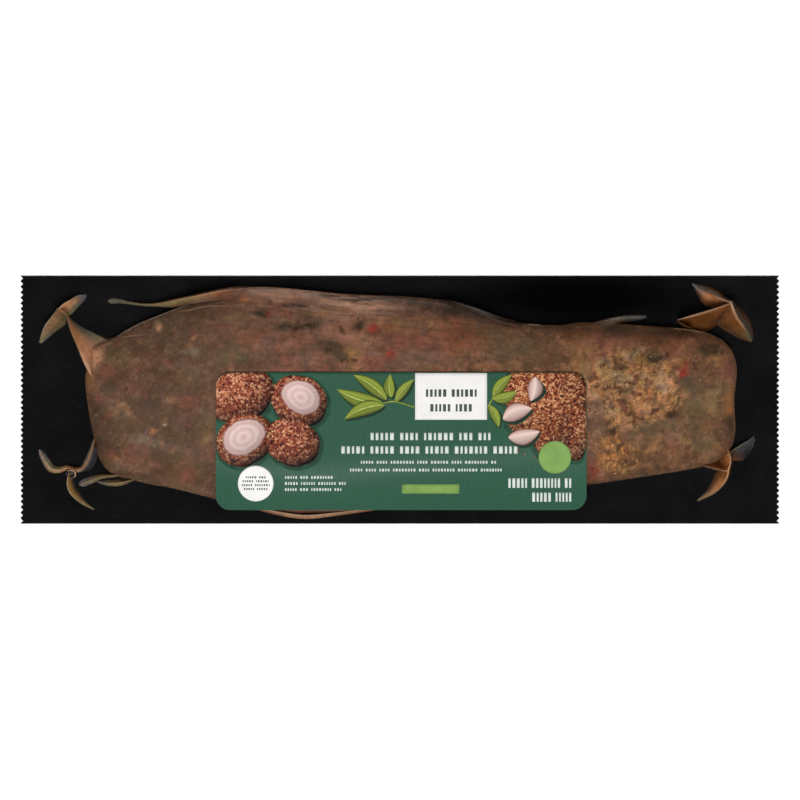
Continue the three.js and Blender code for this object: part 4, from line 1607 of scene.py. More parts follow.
@dataclass(frozen=True)
class FoldLook:
    """How a fold's tones and cover run along it: on its light line, below that and at its foot.

    The line tone along the crest is a painted highlight, and the back tone gives the back face
    painted shade. Tones are given by their names, parted by spaces.
    """

    line: str
    body: str
    foot: str
    cover: Covers = (0.97, 0.97, 0.8)
    foot_cover: Covers = (0.7, 0.5, 0.3)
    back: Tone = Tone.SLATE
    back_cover: float = 0.6
    gain: float = 1.12

    @staticmethod
    def run(values: str | Covers, along: np.ndarray) -> np.ndarray:
        """Spreads tones or covers evenly along a fold.

        Args:
            values: names of tones, or numbers.
            along: 0 at the fold's start, 1 at its end.

        Returns:
            Screen colours or numbers, one for each of along.
        """
        named = isinstance(values, str)
        rows = np.array([Tone[name].value for name in values.split()] if named else values, float)
        at = np.linspace(0.08, 0.94, len(rows))
        if not named:
            return np.interp(along, at, rows)
        return np.column_stack([np.interp(along, at, rows[:, k]) for k in range(3)])


@dataclass(frozen=True)
class Fold:
    """A pinched fold: its crest with heights above the web, and the feet of its two faces.

    A number in place of the back foot is how far the crest's own line is moved to the left.
    """

    crest: Line
    front: Line
    back: Line | float
    look: FoldLook
    sag: float = 0.16
    pleats: int = 48
    shares: tuple[float, ...] = (
        0, 0.07, 0.14, 0.22, 0.31, 0.4, 0.5, 0.6, 0.7, 0.79, 0.86, 0.91, 0.95, 0.98, 1,
    )

    def tones(self, share: np.ndarray, along: np.ndarray, is_back: bool) -> np.ndarray:
        """Screen colours of one face.

        Args:
            share: 0 at the foot, 1 at the crest.
            along: 0 at the crest's start, 1 at its end.
            is_back: whether it is the back face.

        Returns:
            Rows of red, green and blue.
        """
        look = self.look
        body = look.run(look.body, along)
        # Painted shade: the back face is mixed mostly to the back tone, a shaded copy of the front.
        if is_back:
            body = 0.3 * body + 0.7 * np.array(look.back.value)
        low = smooth_step(0.75, 0.08, share)[:, None]
        body = body * (1 - low) + look.run(look.foot, along) * low
        depths = np.random.default_rng(len(self.crest)).uniform(-1, 1, self.pleats)
        body = body * (1 + 0.09 * np.interp(along, np.linspace(0, 1, self.pleats), depths))[:, None]
        # Painted highlight: towards the crest the colour goes to the line tone, the light the fold's edge
        # catches.
        top = smooth_step(0.84, 0.95, share)[:, None] * 0.9
        return np.clip((body * (1 - top) + look.run(look.line, along) * top) * look.gain, 0, 255)

    def covers(self, share: np.ndarray, along: np.ndarray, is_back: bool) -> np.ndarray:
        """How much one face hides what is behind it, from 0 to 1.

        Args:
            share: 0 at the foot, 1 at the crest.
            along: 0 at the crest's start, 1 at its end.
            is_back: whether it is the back face.

        Returns:
            One share for each point.
        """
        look = self.look
        high = look.run(look.cover, along)
        low = look.run(look.foot_cover, along)
        rise = smooth_step(0.0, 0.62, share)
        cover = high * rise + low * (1 - rise)
        if is_back:
            cover = cover * look.back_cover
        return np.maximum(cover, high * smooth_step(0.84, 0.95, share))

    def add_to(self, shell: Shell, steps: int) -> None:
        """Adds the fold as a closed body.

        Args:
            shell: where it goes.
            steps: how many stretches its length has.
        """
        back_foot = self.back
        if not isinstance(back_foot, tuple):
            back_foot = [tuple(point) for point in beside(np.array(self.crest, float), back_foot)]
        crest, front, back = (smooth_line(line, steps) for line in (self.crest, self.front, back_foot))
        shares = np.array(self.shares)
        along = np.linspace(0, 1, steps + 1)
        places, tones, covers = [], [], []
        for feet, order, is_back in ((front, shares, False), (back, shares[::-1][1:], True)):
            s = order[None, :, None]
            plan = feet[:, None, :2] * (1 - s) + crest[:, None, :2] * s
            foot = feet[:, None, 2:]
            height = foot + (crest[:, None, 2:] - foot) * (s - 4 * self.sag * s * (1 - s))
            places.append(np.concatenate([plan, WEB_TOP + np.maximum(height, 0.01)], axis=2))
            each = np.tile(order, steps + 1), np.repeat(along, len(order)), is_back
            tones.append(self.tones(*each).reshape(steps + 1, -1, 3))
            covers.append(self.covers(*each).reshape(steps + 1, -1))
        place, tone, cover = (np.concatenate(parts, axis=1) for parts in (places, tones, covers))
        size = place.shape[1]
        ends = (place[:, 0] + place[:, -1]) / 2
        points = np.vstack([place.reshape(-1, 3), ends[0], ends[-1]])
        tones_at = np.vstack([tone.reshape(-1, 3), tone[0, 0], tone[-1, 0]])
        covers_at = np.concatenate([cover.ravel(), [cover[0, 0], cover[-1, 0]]])
        hub = (steps + 1) * size
        faces = tube_faces(steps, size)
        for i in range(size - 1):
            faces.append((hub, i + 1, i))
            faces.append((hub + 1, steps * size + i, steps * size + i + 1))
        shell.add(points, outward(points, faces), tone=linear(tones_at), cover=covers_at)


def crease(line: Line, look: FoldLook) -> Fold:
    """A narrow upright fold along a line of x, y, height and width.

    Args:
        line: its rows in mm.
        look: the film's tones.

    Returns:
        The fold.
    """
    rows = np.array(line, float)
    front, back = (
        tuple(tuple(point) for point in beside(rows, side * rows[:, 3] / 2)) for side in (1, -1)
    )
    return Fold([tuple(row) for row in rows[:, :3]], front, back, look)


@dataclass
class CornerFolds:
    """The star-shaped folds where the formed film's corners collapsed, with juice in them."""

    finish: PinchedFilmFinish = PinchedFilmFinish()
    steps: int = 40
    curl_centre: tuple[float, float] = (-151.8, -34.4)
    curl_spokes: int = 28
    curl_rings: tuple[tuple[float, float, float, Tone, Tone], ...] = (
        (2.6, 0.05, 0.4, Tone.OLIVE, Tone.OLIVE), (2.5, 3.2, 0.6, Tone.SLATE, Tone.MOSS),
        (2.45, 6.0, 0.9, Tone.SLATE, Tone.PALE_TAN), (2.15, 6.15, 0.9, Tone.SLATE, Tone.PALE_TAN),
        (1.85, 3.4, 0.7, Tone.DARK, Tone.SLATE), (0.6, 2.8, 0.7, Tone.SLATE, Tone.GREY),
    )

    def upper_left(self) -> list[Fold]:
        """Two wings off a peak, and a sail back to the meat.

        Returns:
            The corner's folds.
        """
        wing_right = FoldLook(
            "PALE_TAN TAN GREY", "AMBER TAN SLATE", "OLIVE MOSS SLATE", foot_cover=(0.85, 0.65, 0.6),
        )
        wing_down = FoldLook(
            "TAN CLEAR_LINE CLEAR_LINE", "TAN TAN STRAW", "OLIVE OLIVE GREY", foot_cover=(0.8, 0.7, 0.6),
            gain=0.94,
        )
        sail = FoldLook(
            "PALE_TAN AMBER PALE_TAN", "AMBER AMBER PINK_TAN", "MOSS MOSS TAN", (0.97,),
            (0.35, 0.6, 0.95),
        )
        return [
            Fold(
                ((-157.6, 41.8, 9), (-155.2, 44.2, 8), (-151.6, 46.3, 6), (-148.4, 48.1, 3.4),
                 (-144.6, 48.4, 0.5)),
                ((-153.6, 38.4), (-151.4, 39.4), (-148.2, 42.9), (-145.8, 45.4), (-144.4, 47.6)),
                0.4, wing_right,
            ),
            Fold(
                ((-157.6, 42.4, 9), (-159.4, 39.9, 8.2), (-161.7, 37, 6.8), (-163.8, 34.1, 5),
                 (-165.2, 30.5, 2.8), (-166.2, 26.4, 0.5)),
                ((-153.6, 40.3), (-153.8, 35.2), (-158.2, 31.7), (-161.7, 28.8), (-165.3, 25.9)),
                -0.4, wing_down,
            ),
            Fold(
                ((-157.9, 42, 9), (-154.8, 40.7, 9.2), (-151.7, 31.7, 9.6), (-148.9, 25.1, 9.8),
                 (-145.6, 17, 9.6), (-142.2, 10.6, 8.4)),
                ((-155, 42.2), (-151.4, 37.4), (-147.6, 34.2), (-140.7, 30.8), (-133.8, 26.6), (-134, 21)),
                -0.5, sail,
            ),
        ]

    def lower_left(self) -> list[Fold]:
        """A thin winding fold with its tail, and two creases tucked under the meat.

        Returns:
            The corner's folds.
        """
        winding = FoldLook(
            "GREY CLEAR_LINE PALE_TAN PALE_TAN PALE_TAN", "GREY STRAW AMBER TAN TAN",
            "SLATE OLIVE AMBER GREY GREY", (0.85, 0.97, 0.97), (0.6, 0.8, 0.7), Tone.TAN, 1.0, 1.3,
        )
        tail = FoldLook(
            "PALE_TAN CLEAR_LINE SAGE", "GOLD GOLD STRAW", "DARK UMBER DARK", foot_cover=(0.6, 0.35, 0.2),
        )
        tucked = FoldLook(
            "GREY CLEAR_LINE TAN", "GREY GOLD OLIVE", "SLATE OLIVE UMBER", (0.8, 0.97, 0.97),
            (0.8, 0.9, 0.9), Tone.OLIVE, 1.0, 1.25,
        )
        sheet = FoldLook("TAN", "SLATE", "SLATE", (0.35,), (0.2,), Tone.SLATE, 1.0)
        return [
            crease(
                ((-166.3, -22.8, 0.5, 0.7), (-165.2, -24.9, 1.8, 2.7), (-163.2, -28.4, 3.2, 3.6),
                 (-160.8, -31.6, 4.4, 3.8), (-157.4, -32.4, 5.4, 3), (-153.5, -31.4, 6.2, 2.4),
                 (-149.7, -32.4, 6.6, 2.2), (-146.6, -31.8, 7, 2.4), (-144, -28.2, 7.6, 2.8),
                 (-141.9, -22.8, 8, 2.4), (-140.6, -17.8, 7.4, 1.2)),
                winding,
            ),
            Fold(
                ((-152.6, -33.6, 6.4), (-153.6, -38, 6.2), (-152.7, -42.1, 4.8), (-150.2, -45.3, 3.2),
                 (-146, -48.4, 1.8), (-141.1, -50.7, 0.5)),
                ((-150.2, -34), (-149.8, -38.6), (-147.3, -43.5), (-143.4, -47.7), (-140.8, -50)),
                -0.4, tail,
            ),
            Fold(
                ((-148.6, -32.2, 6.4), (-145.4, -30.6, 7), (-143.2, -26.8, 7.6), (-141.3, -21, 8)),
                ((-146.4, -33.6, 1), (-142.2, -31.8, 2), (-140, -28.6, 4), (-139.6, -23, 7)),
                0.2, sheet,
            ),
            crease(
                ((-148, -39, 0.6, 1), (-146.8, -38.7, 1.4, 3), (-143.2, -37.3, 2.6, 3.4),
                 (-137.6, -35.4, 4.6, 2.3), (-130.9, -34.6, 6, 2.2), (-127, -33.4, 6, 2)),
                tucked,
            ),
            crease(
                ((-139.8, -37.6, 0.5, 0.6), (-137, -38.1, 2, 2), (-132.4, -38.4, 3.6, 3),
                 (-127.4, -37.9, 4.6, 2.8), (-121.6, -36.2, 5.4, 1)),
                tucked,
            ),
        ]

    def upper_right(self) -> list[Fold]:
        """The big star at the upper right corner.

        Returns:
            The corner's folds.
        """
        top_wing = FoldLook(
            "PALE_TAN RUSSET GREY", "RUSSET AMBER GREY", "UMBER RUSSET DARK", foot_cover=(0.85, 0.7, 0.3),
            back=Tone.GREY, back_cover=0.75,
        )
        side_wing = FoldLook(
            "PALE_TAN TAN MOSS", "RUSSET DEEP_AMBER OLIVE", "BRONZE RIND UMBER",
            foot_cover=(0.6, 0.6, 0.6), back=Tone.GREY, back_cover=0.6, gain=1.02,
        )
        sail = FoldLook(
            "TAN TAN PALE_TAN", "RUSSET BRONZE DEEP_AMBER", "DARK_BROWN BRONZE BRONZE", (0.97,),
            (0.4, 0.7, 0.9),
        )
        lip = FoldLook("TAN", "AMBER", "RUSSET", (0.9,), (0.4,), Tone.AMBER)
        return [
            crease(((127.9, 36.5, 13.4, 0.6), (130.6, 34.6, 13, 0.9), (134.4, 32.9, 12.6, 0.7)), lip),
            Fold(
                ((153.2, 44.8, 11.5), (147.8, 46.8, 10), (144.5, 48.5, 8), (140, 50.4, 5),
                 (134.6, 53.6, 0.5)),
                ((150.6, 42), (146.4, 42.2), (141, 43.4), (137.4, 47.8), (134.6, 53)),
                ((154, 45.4), (149.8, 47.6), (147.4, 49.8), (142, 52.4), (135.4, 54.1)),
                top_wing,
            ),
            Fold(
                ((152.6, 45.6, 11.5), (155.5, 38.4, 9), (158.7, 33.6, 6), (160.4, 30.7, 4),
                 (162.3, 27, 0.5)),
                ((145, 41.5), (146.4, 34.4), (152.2, 30.4), (156.8, 28), (161.8, 26.5)),
                ((153.6, 46), (157.3, 42.2), (160.8, 37.8), (162.8, 32.6), (163, 27.8)),
                side_wing,
            ),
            Fold(
                ((153.4, 45, 11.5), (146.6, 42.6, 12), (140.2, 40.6, 12.6), (133.8, 38.7, 13.4),
                 (127.9, 36.8, 14)),
                ((152, 40), (147, 35), (141.4, 31.4), (135.6, 31), (131, 33.2), (127.9, 36.2)),
                -0.5, sail,
            ),
        ]

    def lower_right(self) -> list[Fold]:
        """A puckered web against the meat and two wings off it.

        Returns:
            The corner's folds.
        """
        # The pucker's tones are lightened, with a gain of 1.3, against the shade in its pit: painted
        # light.
        pucker = FoldLook(
            "TAN PALE_TAN TAN", "AMBER DEEP_AMBER ORANGE", "DEEP_AMBER", (0.97,), (0.97,), gain=1.3,
        )
        wing_right = FoldLook(
            "OLIVE SAGE GREY", "UMBER SLATE SLATE", "RUSSET DARK SLATE", (0.9, 0.7, 0.9),
            (0.85, 0.6, 0.5), gain=0.9,
        )
        wing_down = FoldLook(
            "PALE_TAN TAN SAGE", "DEEP_AMBER AMBER STRAW", "BRONZE UMBER MOSS", (0.97, 0.97, 0.85),
            (0.7, 0.4, 0.1), Tone.AMBER, gain=1.2,
        )
        return [
            Fold(
                ((151.2, -22.8, 7.6), (152.5, -26, 8.2), (152.5, -29.6, 8.4), (151.2, -32.8, 8.6),
                 (145.7, -31.9, 8.4), (139.8, -30.2, 7.4)),
                ((147, -22), (148, -25), (148, -27), (147.2, -28.2), (144.4, -28.2), (140.6, -27.8)),
                0.6, pucker,
            ),
            Fold(
                ((150.8, -24.8, 7.6), (156, -21.5, 5.6), (160.7, -18.6, 3), (163.2, -16.8, 0.5)),
                ((153.4, -28), (158.2, -28), (162, -23.8), (163.9, -18.6)),
                0.4, wing_right,
            ),
            Fold(
                ((151.9, -30.6, 8.8), (151.1, -35.6, 7.6), (148.7, -39.5, 5.6), (145.3, -42.7, 3.6),
                 (141.1, -45, 1.9), (137.2, -46.5, 0.5)),
                ((147.4, -30.6), (144.8, -35.1), (143.4, -38.3), (141.3, -41.8), (137, -46)),
                ((153.2, -29.8), (152, -35.2), (150.1, -38.9), (147.4, -41.8), (143.9, -44.1),
                 (137.6, -46.9)),
                wing_down,
            ),
        ]

    def edges(self) -> list[Fold]:
        """The loose creases along the meat's long edges.

        Returns:
            The folds of both edges.
        """
        band = FoldLook(
            "SAGE PINK_TAN TAN PINK_TAN PINK_TAN", "MOSS STRAW OLIVE RUSSET BRICK",
            "MOSS OLIVE UMBER RIND BRICK", (0.97, 0.97, 0.97, 0.9, 0.0), (0.97, 0.97, 0.97, 0.8, 0.0),
            Tone.TAN, 1.0,
        )
        dark_roll = FoldLook(
            "DARK_BROWN DARK_BROWN GREY GREY UMBER", "DARK_BROWN", "DARK_BROWN DARK_BROWN RIND",
            (0.3, 0.8, 0.95, 0.8), (0.2, 0.8, 0.9, 0.6), Tone.DARK_BROWN, 1.0,
        )
        lens = FoldLook(
            "TAN GREY GREY", "UMBER MOSS GREY", "UMBER RIND SLATE", (0.9, 0.8, 0.8), (0.8, 0.7, 0.7),
            Tone.SLATE, 1.0,
        )
        under_label = FoldLook(
            "TAN PALE_TAN PALE_TAN", "TAN", "RUSSET TAN RUSSET", (0.97, 0.97, 0.9), (0.9,), Tone.TAN, 1.0,
        )
        return [
            Fold(
                ((-134.8, 45.6, 0.4), (-133.6, 45.8, 1.6), (-130, 45.9, 2.4), (-122.6, 44.6, 3.2),
                 (-116.2, 44, 4), (-110.6, 44.5, 5.4), (-101.4, 46.4, 8), (-92.2, 48.3, 11),
                 (-83, 50.2, 13.6), (-73.7, 51.3, 15), (-64, 51.4, 14.5)),
                ((-134.8, 45.3, 0), (-133.6, 44.5, 0), (-129.1, 44.5, 0), (-122.6, 43.7, 0),
                 (-116.2, 43.1, 0), (-110.6, 42.9, 1), (-105.1, 42.6, 2.6), (-99.1, 43.6, 6.6),
                 (-92.2, 44.7, 10.6), (-83, 45.8, 13.8), (-73.7, 46.9, 15.7), (-64, 48.4, 15)),
                ((-134.8, 45.9), (-133.6, 46.7), (-130, 46.7), (-122.6, 45), (-116.2, 44.5),
                 (-110.6, 45.1), (-101.4, 47.2), (-92.2, 49.1), (-83, 51.2), (-73.7, 52.5), (-64, 52.8)),
                band,
            ),
            Fold(
                ((18, 46.4, 9), (24, 45.5, 9.6), (32.8, 43, 9), (39.2, 40.6, 8), (45.7, 38.1, 6.5),
                 (53.1, 36.1, 5)),
                ((18, 45.8, 9), (24, 43.4, 11), (32.8, 39.9, 11.7), (39.2, 37.6, 10.9), (45.7, 35.3, 10.9),
                 (53.1, 34.4, 9.3)),
                0.5, dark_roll,
            ),
            Fold(
                ((90, 35.4, 6), (96.9, 37.2, 5.5), (103.3, 38.3, 4.2), (109.8, 38.5, 2.6),
                 (113.7, 38.1, 0.6)),
                ((90, 34.6, 7.6), (97.8, 34.3, 8), (103.3, 35.6, 1), (109.8, 36.7, 0), (113.6, 37.8, 0)),
                0.8, lens,
            ),
            crease(
                ((-70, -48.6, 9, 2), (-56, -51.6, 8, 3.4), (-43.8, -53.2, 7.4, 3.6), (-31, -52.2, 6.6, 3),
                 (-6, -49.2, 5, 2)),
                under_label,
            ),
        ]

    def curl(self, shell: Shell) -> None:
        """Adds the small open curl in the lower left fold, ring by ring from its foot.

        Args:
            shell: where its points and faces go.
        """
        centre, spokes = np.array(self.curl_centre), self.curl_spokes
        angles = np.linspace(0, 2 * math.pi, spokes, endpoint=False)
        uneven = 0.84 * (1 + 0.13 * np.sin(angles + 0.9) + 0.09 * np.sin(2 * angles + 2))
        facing = smooth_step(-0.5, 0.7, np.cos(angles - math.radians(40)))[:, None]
        rows, tones, covers = [], [], []
        for radius, height, cover, low, high in self.curl_rings:
            plan = centre + (radius * uneven)[:, None] * np.column_stack([np.cos(angles), np.sin(angles)])
            rows.append(np.column_stack([plan, np.full(spokes, WEB_TOP + height)]))
            tones.append(np.array(low.value) * (1 - facing) + np.array(high.value) * facing)
            covers.append(np.full(spokes, cover))
        hubs = [(*centre, WEB_TOP + 2.7), (*centre, WEB_TOP + 0.04)]
        points = np.vstack(rows + [hubs])
        faces = tube_faces(len(rows) - 1, spokes)
        hub, last = len(points) - 2, len(points) - 2 - spokes
        for i in range(spokes):
            after = (i + 1) % spokes
            faces += [(last + i, last + after, hub), (hub + 1, after, i)]
        tone = np.vstack(tones + [[Tone.SLATE.value, Tone.DARK.value]])
        cover = np.concatenate(covers + [[0.7, 0.4]])
        shell.add(points, outward(points, faces), tone=linear(tone), cover=cover)

    def build(self) -> None:
        """Makes the folds of each corner and of the edges, one piece each."""
        material = self.finish.material()
        for place in (self.upper_left, self.lower_left, self.upper_right, self.lower_right, self.edges):
            shell = Shell()
            for fold in place():
                fold.add_to(shell, self.steps)
            if place == self.lower_left:
                self.curl(shell)
            piece = shell.mesh_object("folds_" + place.__name__, material)
            settle(piece, ["tenderloin_in_film"])


@dataclass(frozen=True)
class Wrinkle:
    """A fine raised line in the tight film: its way in plan, width and height in mm, and the tone and
    cover of the painted highlight along it.
    """

    way: Line
    width: float
    height: float
    tone: Tone
    cover: float


@dataclass
class FilmWrinkles:
    """The fine creases that catch the light on the tight film."""

    form: MeatForm
    finish: PinchedFilmFinish = PinchedFilmFinish("film_wrinkles")
    steps: int = 60
    streak_count: int = 14
    across: tuple[float, ...] = (1, 0.6, 0.25, -0.25, -0.6, -1)
    rise: tuple[float, ...] = (-0.06, 0.55, 0.95, 0.95, 0.55, -0.06)
    fade: tuple[float, ...] = (0.2, 0.8, 1, 1, 0.8, 0.2)
    wrinkles: tuple[Wrinkle, ...] = (
        Wrinkle(
            ((-142.4, 24.3), (-132.6, 28.1), (-124.3, 29.5), (-113, 30.4)), 1.1, 0.3, Tone.PINK_TAN, 0.5
        ),
        Wrinkle(((-145, 14), (-144, 20), (-143.2, 23.4), (-141.4, 24.9)), 0.9, 0.3, Tone.PALE_TAN, 0.6),
        Wrinkle(((-108.8, 39.8), (-96.8, 41.4), (-89.2, 43.2), (-73.7, 42.8)), 0.8, 0.3, Tone.TAN, 0.6),
        Wrinkle(((-105, 42), (-95.9, 44.6), (-86.2, 46.5), (-73.7, 47.9)), 0.8, 0.3, Tone.TAN, 0.55),
        Wrinkle(((-136.6, -30.8), (-132.4, -34.2), (-124, -36.5), (-104, -41)), 0.8, 0.3, Tone.TAN, 0.5),
    )
    rims: tuple[tuple[str, float, float, float, Tone, float], ...] = (
        ("upper", -141, -84, 0.6, Tone.SILVER, 0.7), ("upper", 54, 76, 0.6, Tone.PALE_TAN, 0.6),
        ("upper", 122, 150, 0.6, Tone.GLINT, 0.6), ("right", 149, 157, 0.45, Tone.TAN, 0.6),
        ("lower", -118, -80, 0.6, Tone.TAN, 0.5), ("lower", 110, 142, 0.6, Tone.TAN, 0.35),
    )

    def rim_lines(self) -> list[Wrinkle]:
        """The light that the film catches just inside the meat's outline.

        Returns:
            One wrinkle for each row of rims.
        """
        made = []
        for side, low, high, inward, tone, cover in self.rims:
            edge = smooth_line(getattr(self.form, side), 90)
            moved = beside(edge, inward if side == "lower" else -inward)
            kept = moved[(moved[:, 0] >= low) & (moved[:, 0] <= high)][::3]
            made.append(Wrinkle(tuple(map(tuple, kept)), 0.75, 0.22, tone, cover))
        return made

    def streaks(self) -> list[Wrinkle]:
        """Fine silvery lines of painted highlight along the upper edge of the thickest part.

        Returns:
            The lines, always the same ones.
        """
        draw = np.random.default_rng(41)
        edge = smooth_line(self.form.upper, 300)
        made = []
        for _ in range(self.streak_count):
            start = draw.uniform(-66, -18)
            length = draw.uniform(9, 30)
            inward = draw.uniform(0.8, 9.5)
            x = np.linspace(start, start + length, 5)
            inside = beside(edge, -inward)
            y = np.interp(x, inside[:, 0], inside[:, 1]) + draw.normal(0, 0.25, 5)
            tone = (Tone.SILVER, Tone.PINK_TAN, Tone.TAN)[int(draw.integers(3))]
            width, cover = draw.uniform(0.8, 1.8), draw.uniform(0.08, 0.24)
            made.append(Wrinkle(tuple(zip(x, y)), width, 0.22, tone, cover))
        return made

    def build(self) -> None:
        """Lays each wrinkle on the film as a slim closed ridge."""
        shell = Shell()
        along = np.linspace(0, 1, self.steps + 1)
        taper = np.minimum(smooth_step(0, 0.3, along), smooth_step(1, 0.7, along)) * 0.9 + 0.1
        size = len(self.across)
        for wrinkle in list(self.wrinkles) + self.rim_lines() + self.streaks():
            line = smooth_line(wrinkle.way, self.steps)
            rows = []
            for side, lift in zip(self.across, self.rise):
                plan = beside(line, side * wrinkle.width / 2 * taper)
                depth = np.maximum(self.form.depth(plan), 0)
                height = self.form.smooth_top(plan, depth) + lift * wrinkle.height * taper + 0.1
                rows.append(np.column_stack([plan, height]))
            points = np.stack(rows, axis=1).reshape(-1, 3)
            faces = tube_faces(self.steps, size)
            faces.append(tuple(range(size - 1, -1, -1)))
            faces.append(tuple(self.steps * size + i for i in range(size)))
            cover = wrinkle.cover * np.repeat(taper, size) * np.tile(self.fade, self.steps + 1)
            tone = np.tile(linear(wrinkle.tone.value), (len(points), 1))
            shell.add(points, outward(points, faces), tone=tone, cover=cover)
        settle(shell.mesh_object("film_wrinkles", self.finish.material()))


# The label


@dataclass
class PrintedLabel:
    """The draped label and its print, with every shape given in the pack's own x and y."""

    form: MeatForm
    corner: float = 6.6
    thickness: float = 0.2
    columns: int = 120
    rows: int = 46
    layer_step: float = 0.018
    print_depth: float = 0.014
    cell: float = 1.6
    spokes: int = 72
    rings: int = 10
    light_from: float = 125
    ground: InkFinish = InkFinish(
        "label_green", ((0.15, (38, 76, 58)), (0.85, (52, 94, 74))), InkPattern.PINSTRIPES, 1.02, 0.42
    )

    def half(self) -> Spot:
        """Half the label's length and width."""
        return self.form.label_size[0] / 2, self.form.label_size[1] / 2

    def angles(self) -> np.ndarray:
        """The directions of a round field's spokes."""
        return np.linspace(0, 2 * math.pi, self.spokes, endpoint=False)

    def half_width_at(self, x: np.ndarray) -> np.ndarray:
        """Half the label's width at places along it, less by its rounded corners.

        Args:
            x: places along the pack in mm.

        Returns:
            One half width for each.
        """
        half_x, half_y = self.half()
        into = np.clip(np.abs(x - self.form.label_centre[0]) - (half_x - self.corner), 0, self.corner)
        return half_y - self.corner + np.sqrt(np.maximum(self.corner**2 - into**2, 0))

    def lay(
        self,
        shell: Shell,
        xy: np.ndarray,
        faces: Faces,
        layer: int,
        share: np.ndarray,
        lit: np.ndarray | float = 0.0,
    ) -> None:
        """Lays a flat shape on the draped label as a thin closed field of print.

        Args:
            shell: where it goes.
            xy: its points in plan, in mm.
            faces: its faces, counter-clockwise from above.
            layer: which layer of print it is on.
            share: how far out each point is, from 0 to 1.
            lit: how much each point is turned to the picture's light, from -1 to 1.
        """
        level = self.thickness + layer * self.layer_step
        points = np.column_stack([xy, self.form.label_underside(xy) + level])
        values = {"share": share, "lit": np.broadcast_to(lit, share.shape)}
        shell.add_closed(points, faces, self.print_depth, **values)

    def reach(self, start: Spot, angle: float, wanted: float, margin: float = 0.1) -> float:
        """How far a ray may run before it leaves the label.

        Args:
            start: where it starts.
            angle: its direction.
            wanted: the most that is asked for, in mm.
            margin: what is kept free at the label's edge, in mm.

        Returns:
            The distance in mm.
        """
        far = np.linspace(0, wanted, 120)
        x, y = start[0] + far * math.cos(angle), start[1] + far * math.sin(angle)
        inside = np.abs(x - self.form.label_centre[0]) <= self.half()[0] - margin
        inside &= np.abs(y - self.form.label_centre[1]) <= self.half_width_at(x) - margin
        outside = np.nonzero(~inside)[0]
        return float(far[max(outside[0] - 1, 0)]) if len(outside) else wanted

    def sheet(self) -> None:
        """Makes the label itself."""
        length = self.form.label_size[0]
        round_end = self.corner * (1 - np.cos(np.linspace(0, math.pi / 2, 9)))
        straight = np.linspace(self.corner, length - self.corner, self.columns)[1:-1]
        x = np.concatenate([round_end, straight, (length - round_end)[::-1]])
        x = x + self.form.label_centre[0] - length / 2
        across = self.half_width_at(x)[:, None] * np.linspace(-1, 1, self.rows + 1)[None]
        xy = np.column_stack([np.repeat(x, self.rows + 1), (self.form.label_centre[1] + across).ravel()])
        points = np.column_stack([xy, self.form.label_underside(xy) + self.thickness])
        shell = Shell()
        shell.add_closed(points, grid_faces(len(x) - 1, self.rows), self.thickness)
        settle(shell.mesh_object("label_sheet", self.ground.material()), ["label"])

    def rectangle(self, shell: Shell, box: Box, layer: int) -> None:
        """Adds a straight-sided field of print.

        Args:
            shell: where it goes.
            box: lowest x and y, highest x and y.
            layer: which layer of print it is on.
        """
        x0, y0, x1, y1 = box
        columns = max(1, math.ceil((x1 - x0) / self.cell))
        rows = max(1, math.ceil((y1 - y0) / self.cell))
        x = np.repeat(np.linspace(x0, x1, columns + 1), rows + 1)
        y = np.tile(np.linspace(y0, y1, rows + 1), columns + 1)
        share = (x - x0) / (x1 - x0)
        self.lay(shell, np.column_stack([x, y]), grid_faces(columns, rows), layer, share)

    def round_field(self, shell: Shell, centre: Spot, radius: np.ndarray | float, layer: int) -> None:
        """Adds a round or lumpy field of print, cut off at the label's edge.

        Args:
            shell: where it goes.
            centre: its middle.
            radius: its reach in mm, the same all round or spoke by spoke.
            layer: which layer of print it is on.
        """
        angles = self.angles()
        full = np.broadcast_to(radius, angles.shape)
        reach = np.array([self.reach(centre, angle, far) for angle, far in zip(angles, full)])
        distance = (reach * np.linspace(0, 1, self.rings + 1)[1:, None]).ravel()
        turned = np.tile(angles, self.rings)
        xy = np.column_stack([np.cos(turned), np.sin(turned)]) * distance[:, None] + centre
        share = distance / np.tile(full, self.rings)
        faces = [(a, d, c, b) for a, b, c, d in tube_faces(self.rings - 1, self.spokes)]
        faces += [(len(xy), i, (i + 1) % self.spokes) for i in range(self.spokes)]
        lit = share * np.cos(turned - math.radians(self.light_from))
        self.lay(shell, np.vstack([xy, centre]), faces, layer, np.append(share, 0), np.append(lit, 0))

    def leaf(self, shell: Shell, ends: tuple[Spot, Spot], width: float, bend: float, layer: int) -> None:
        """Adds a pointed leaf with its midrib, which the stored share runs away from.

        Args:
            shell: where it goes.
            ends: where it starts and where its tip is.
            width: its greatest width in mm.
            bend: how far its middle bows to the left, in mm.
            layer: which layer of print it is on.
        """
        start, end = np.array(ends, float)
        along = np.linspace(0, 1, 25)
        run = (end - start) / np.linalg.norm(end - start)
        left = np.array([-run[1], run[0]])
        bow = (4 * bend * along * (1 - along))[:, None] * left
        middle = start + along[:, None] * (end - start) + bow
        half = width / 2 * np.sin(np.pi * along**0.85) ** 0.8
        sides = np.linspace(-1, 1, 9)
        xy = middle[:, None] + (half[:, None] * sides[None])[..., None] * left
        share = np.tile(np.abs(sides), len(along))
        lit = np.tile(np.where(sides > 0, 0.9, -0.5) * np.sign(left[1] or 1), len(along))
        self.lay(shell, xy.reshape(-1, 2), grid_faces(len(along) - 1, len(sides) - 1), layer, share, lit)

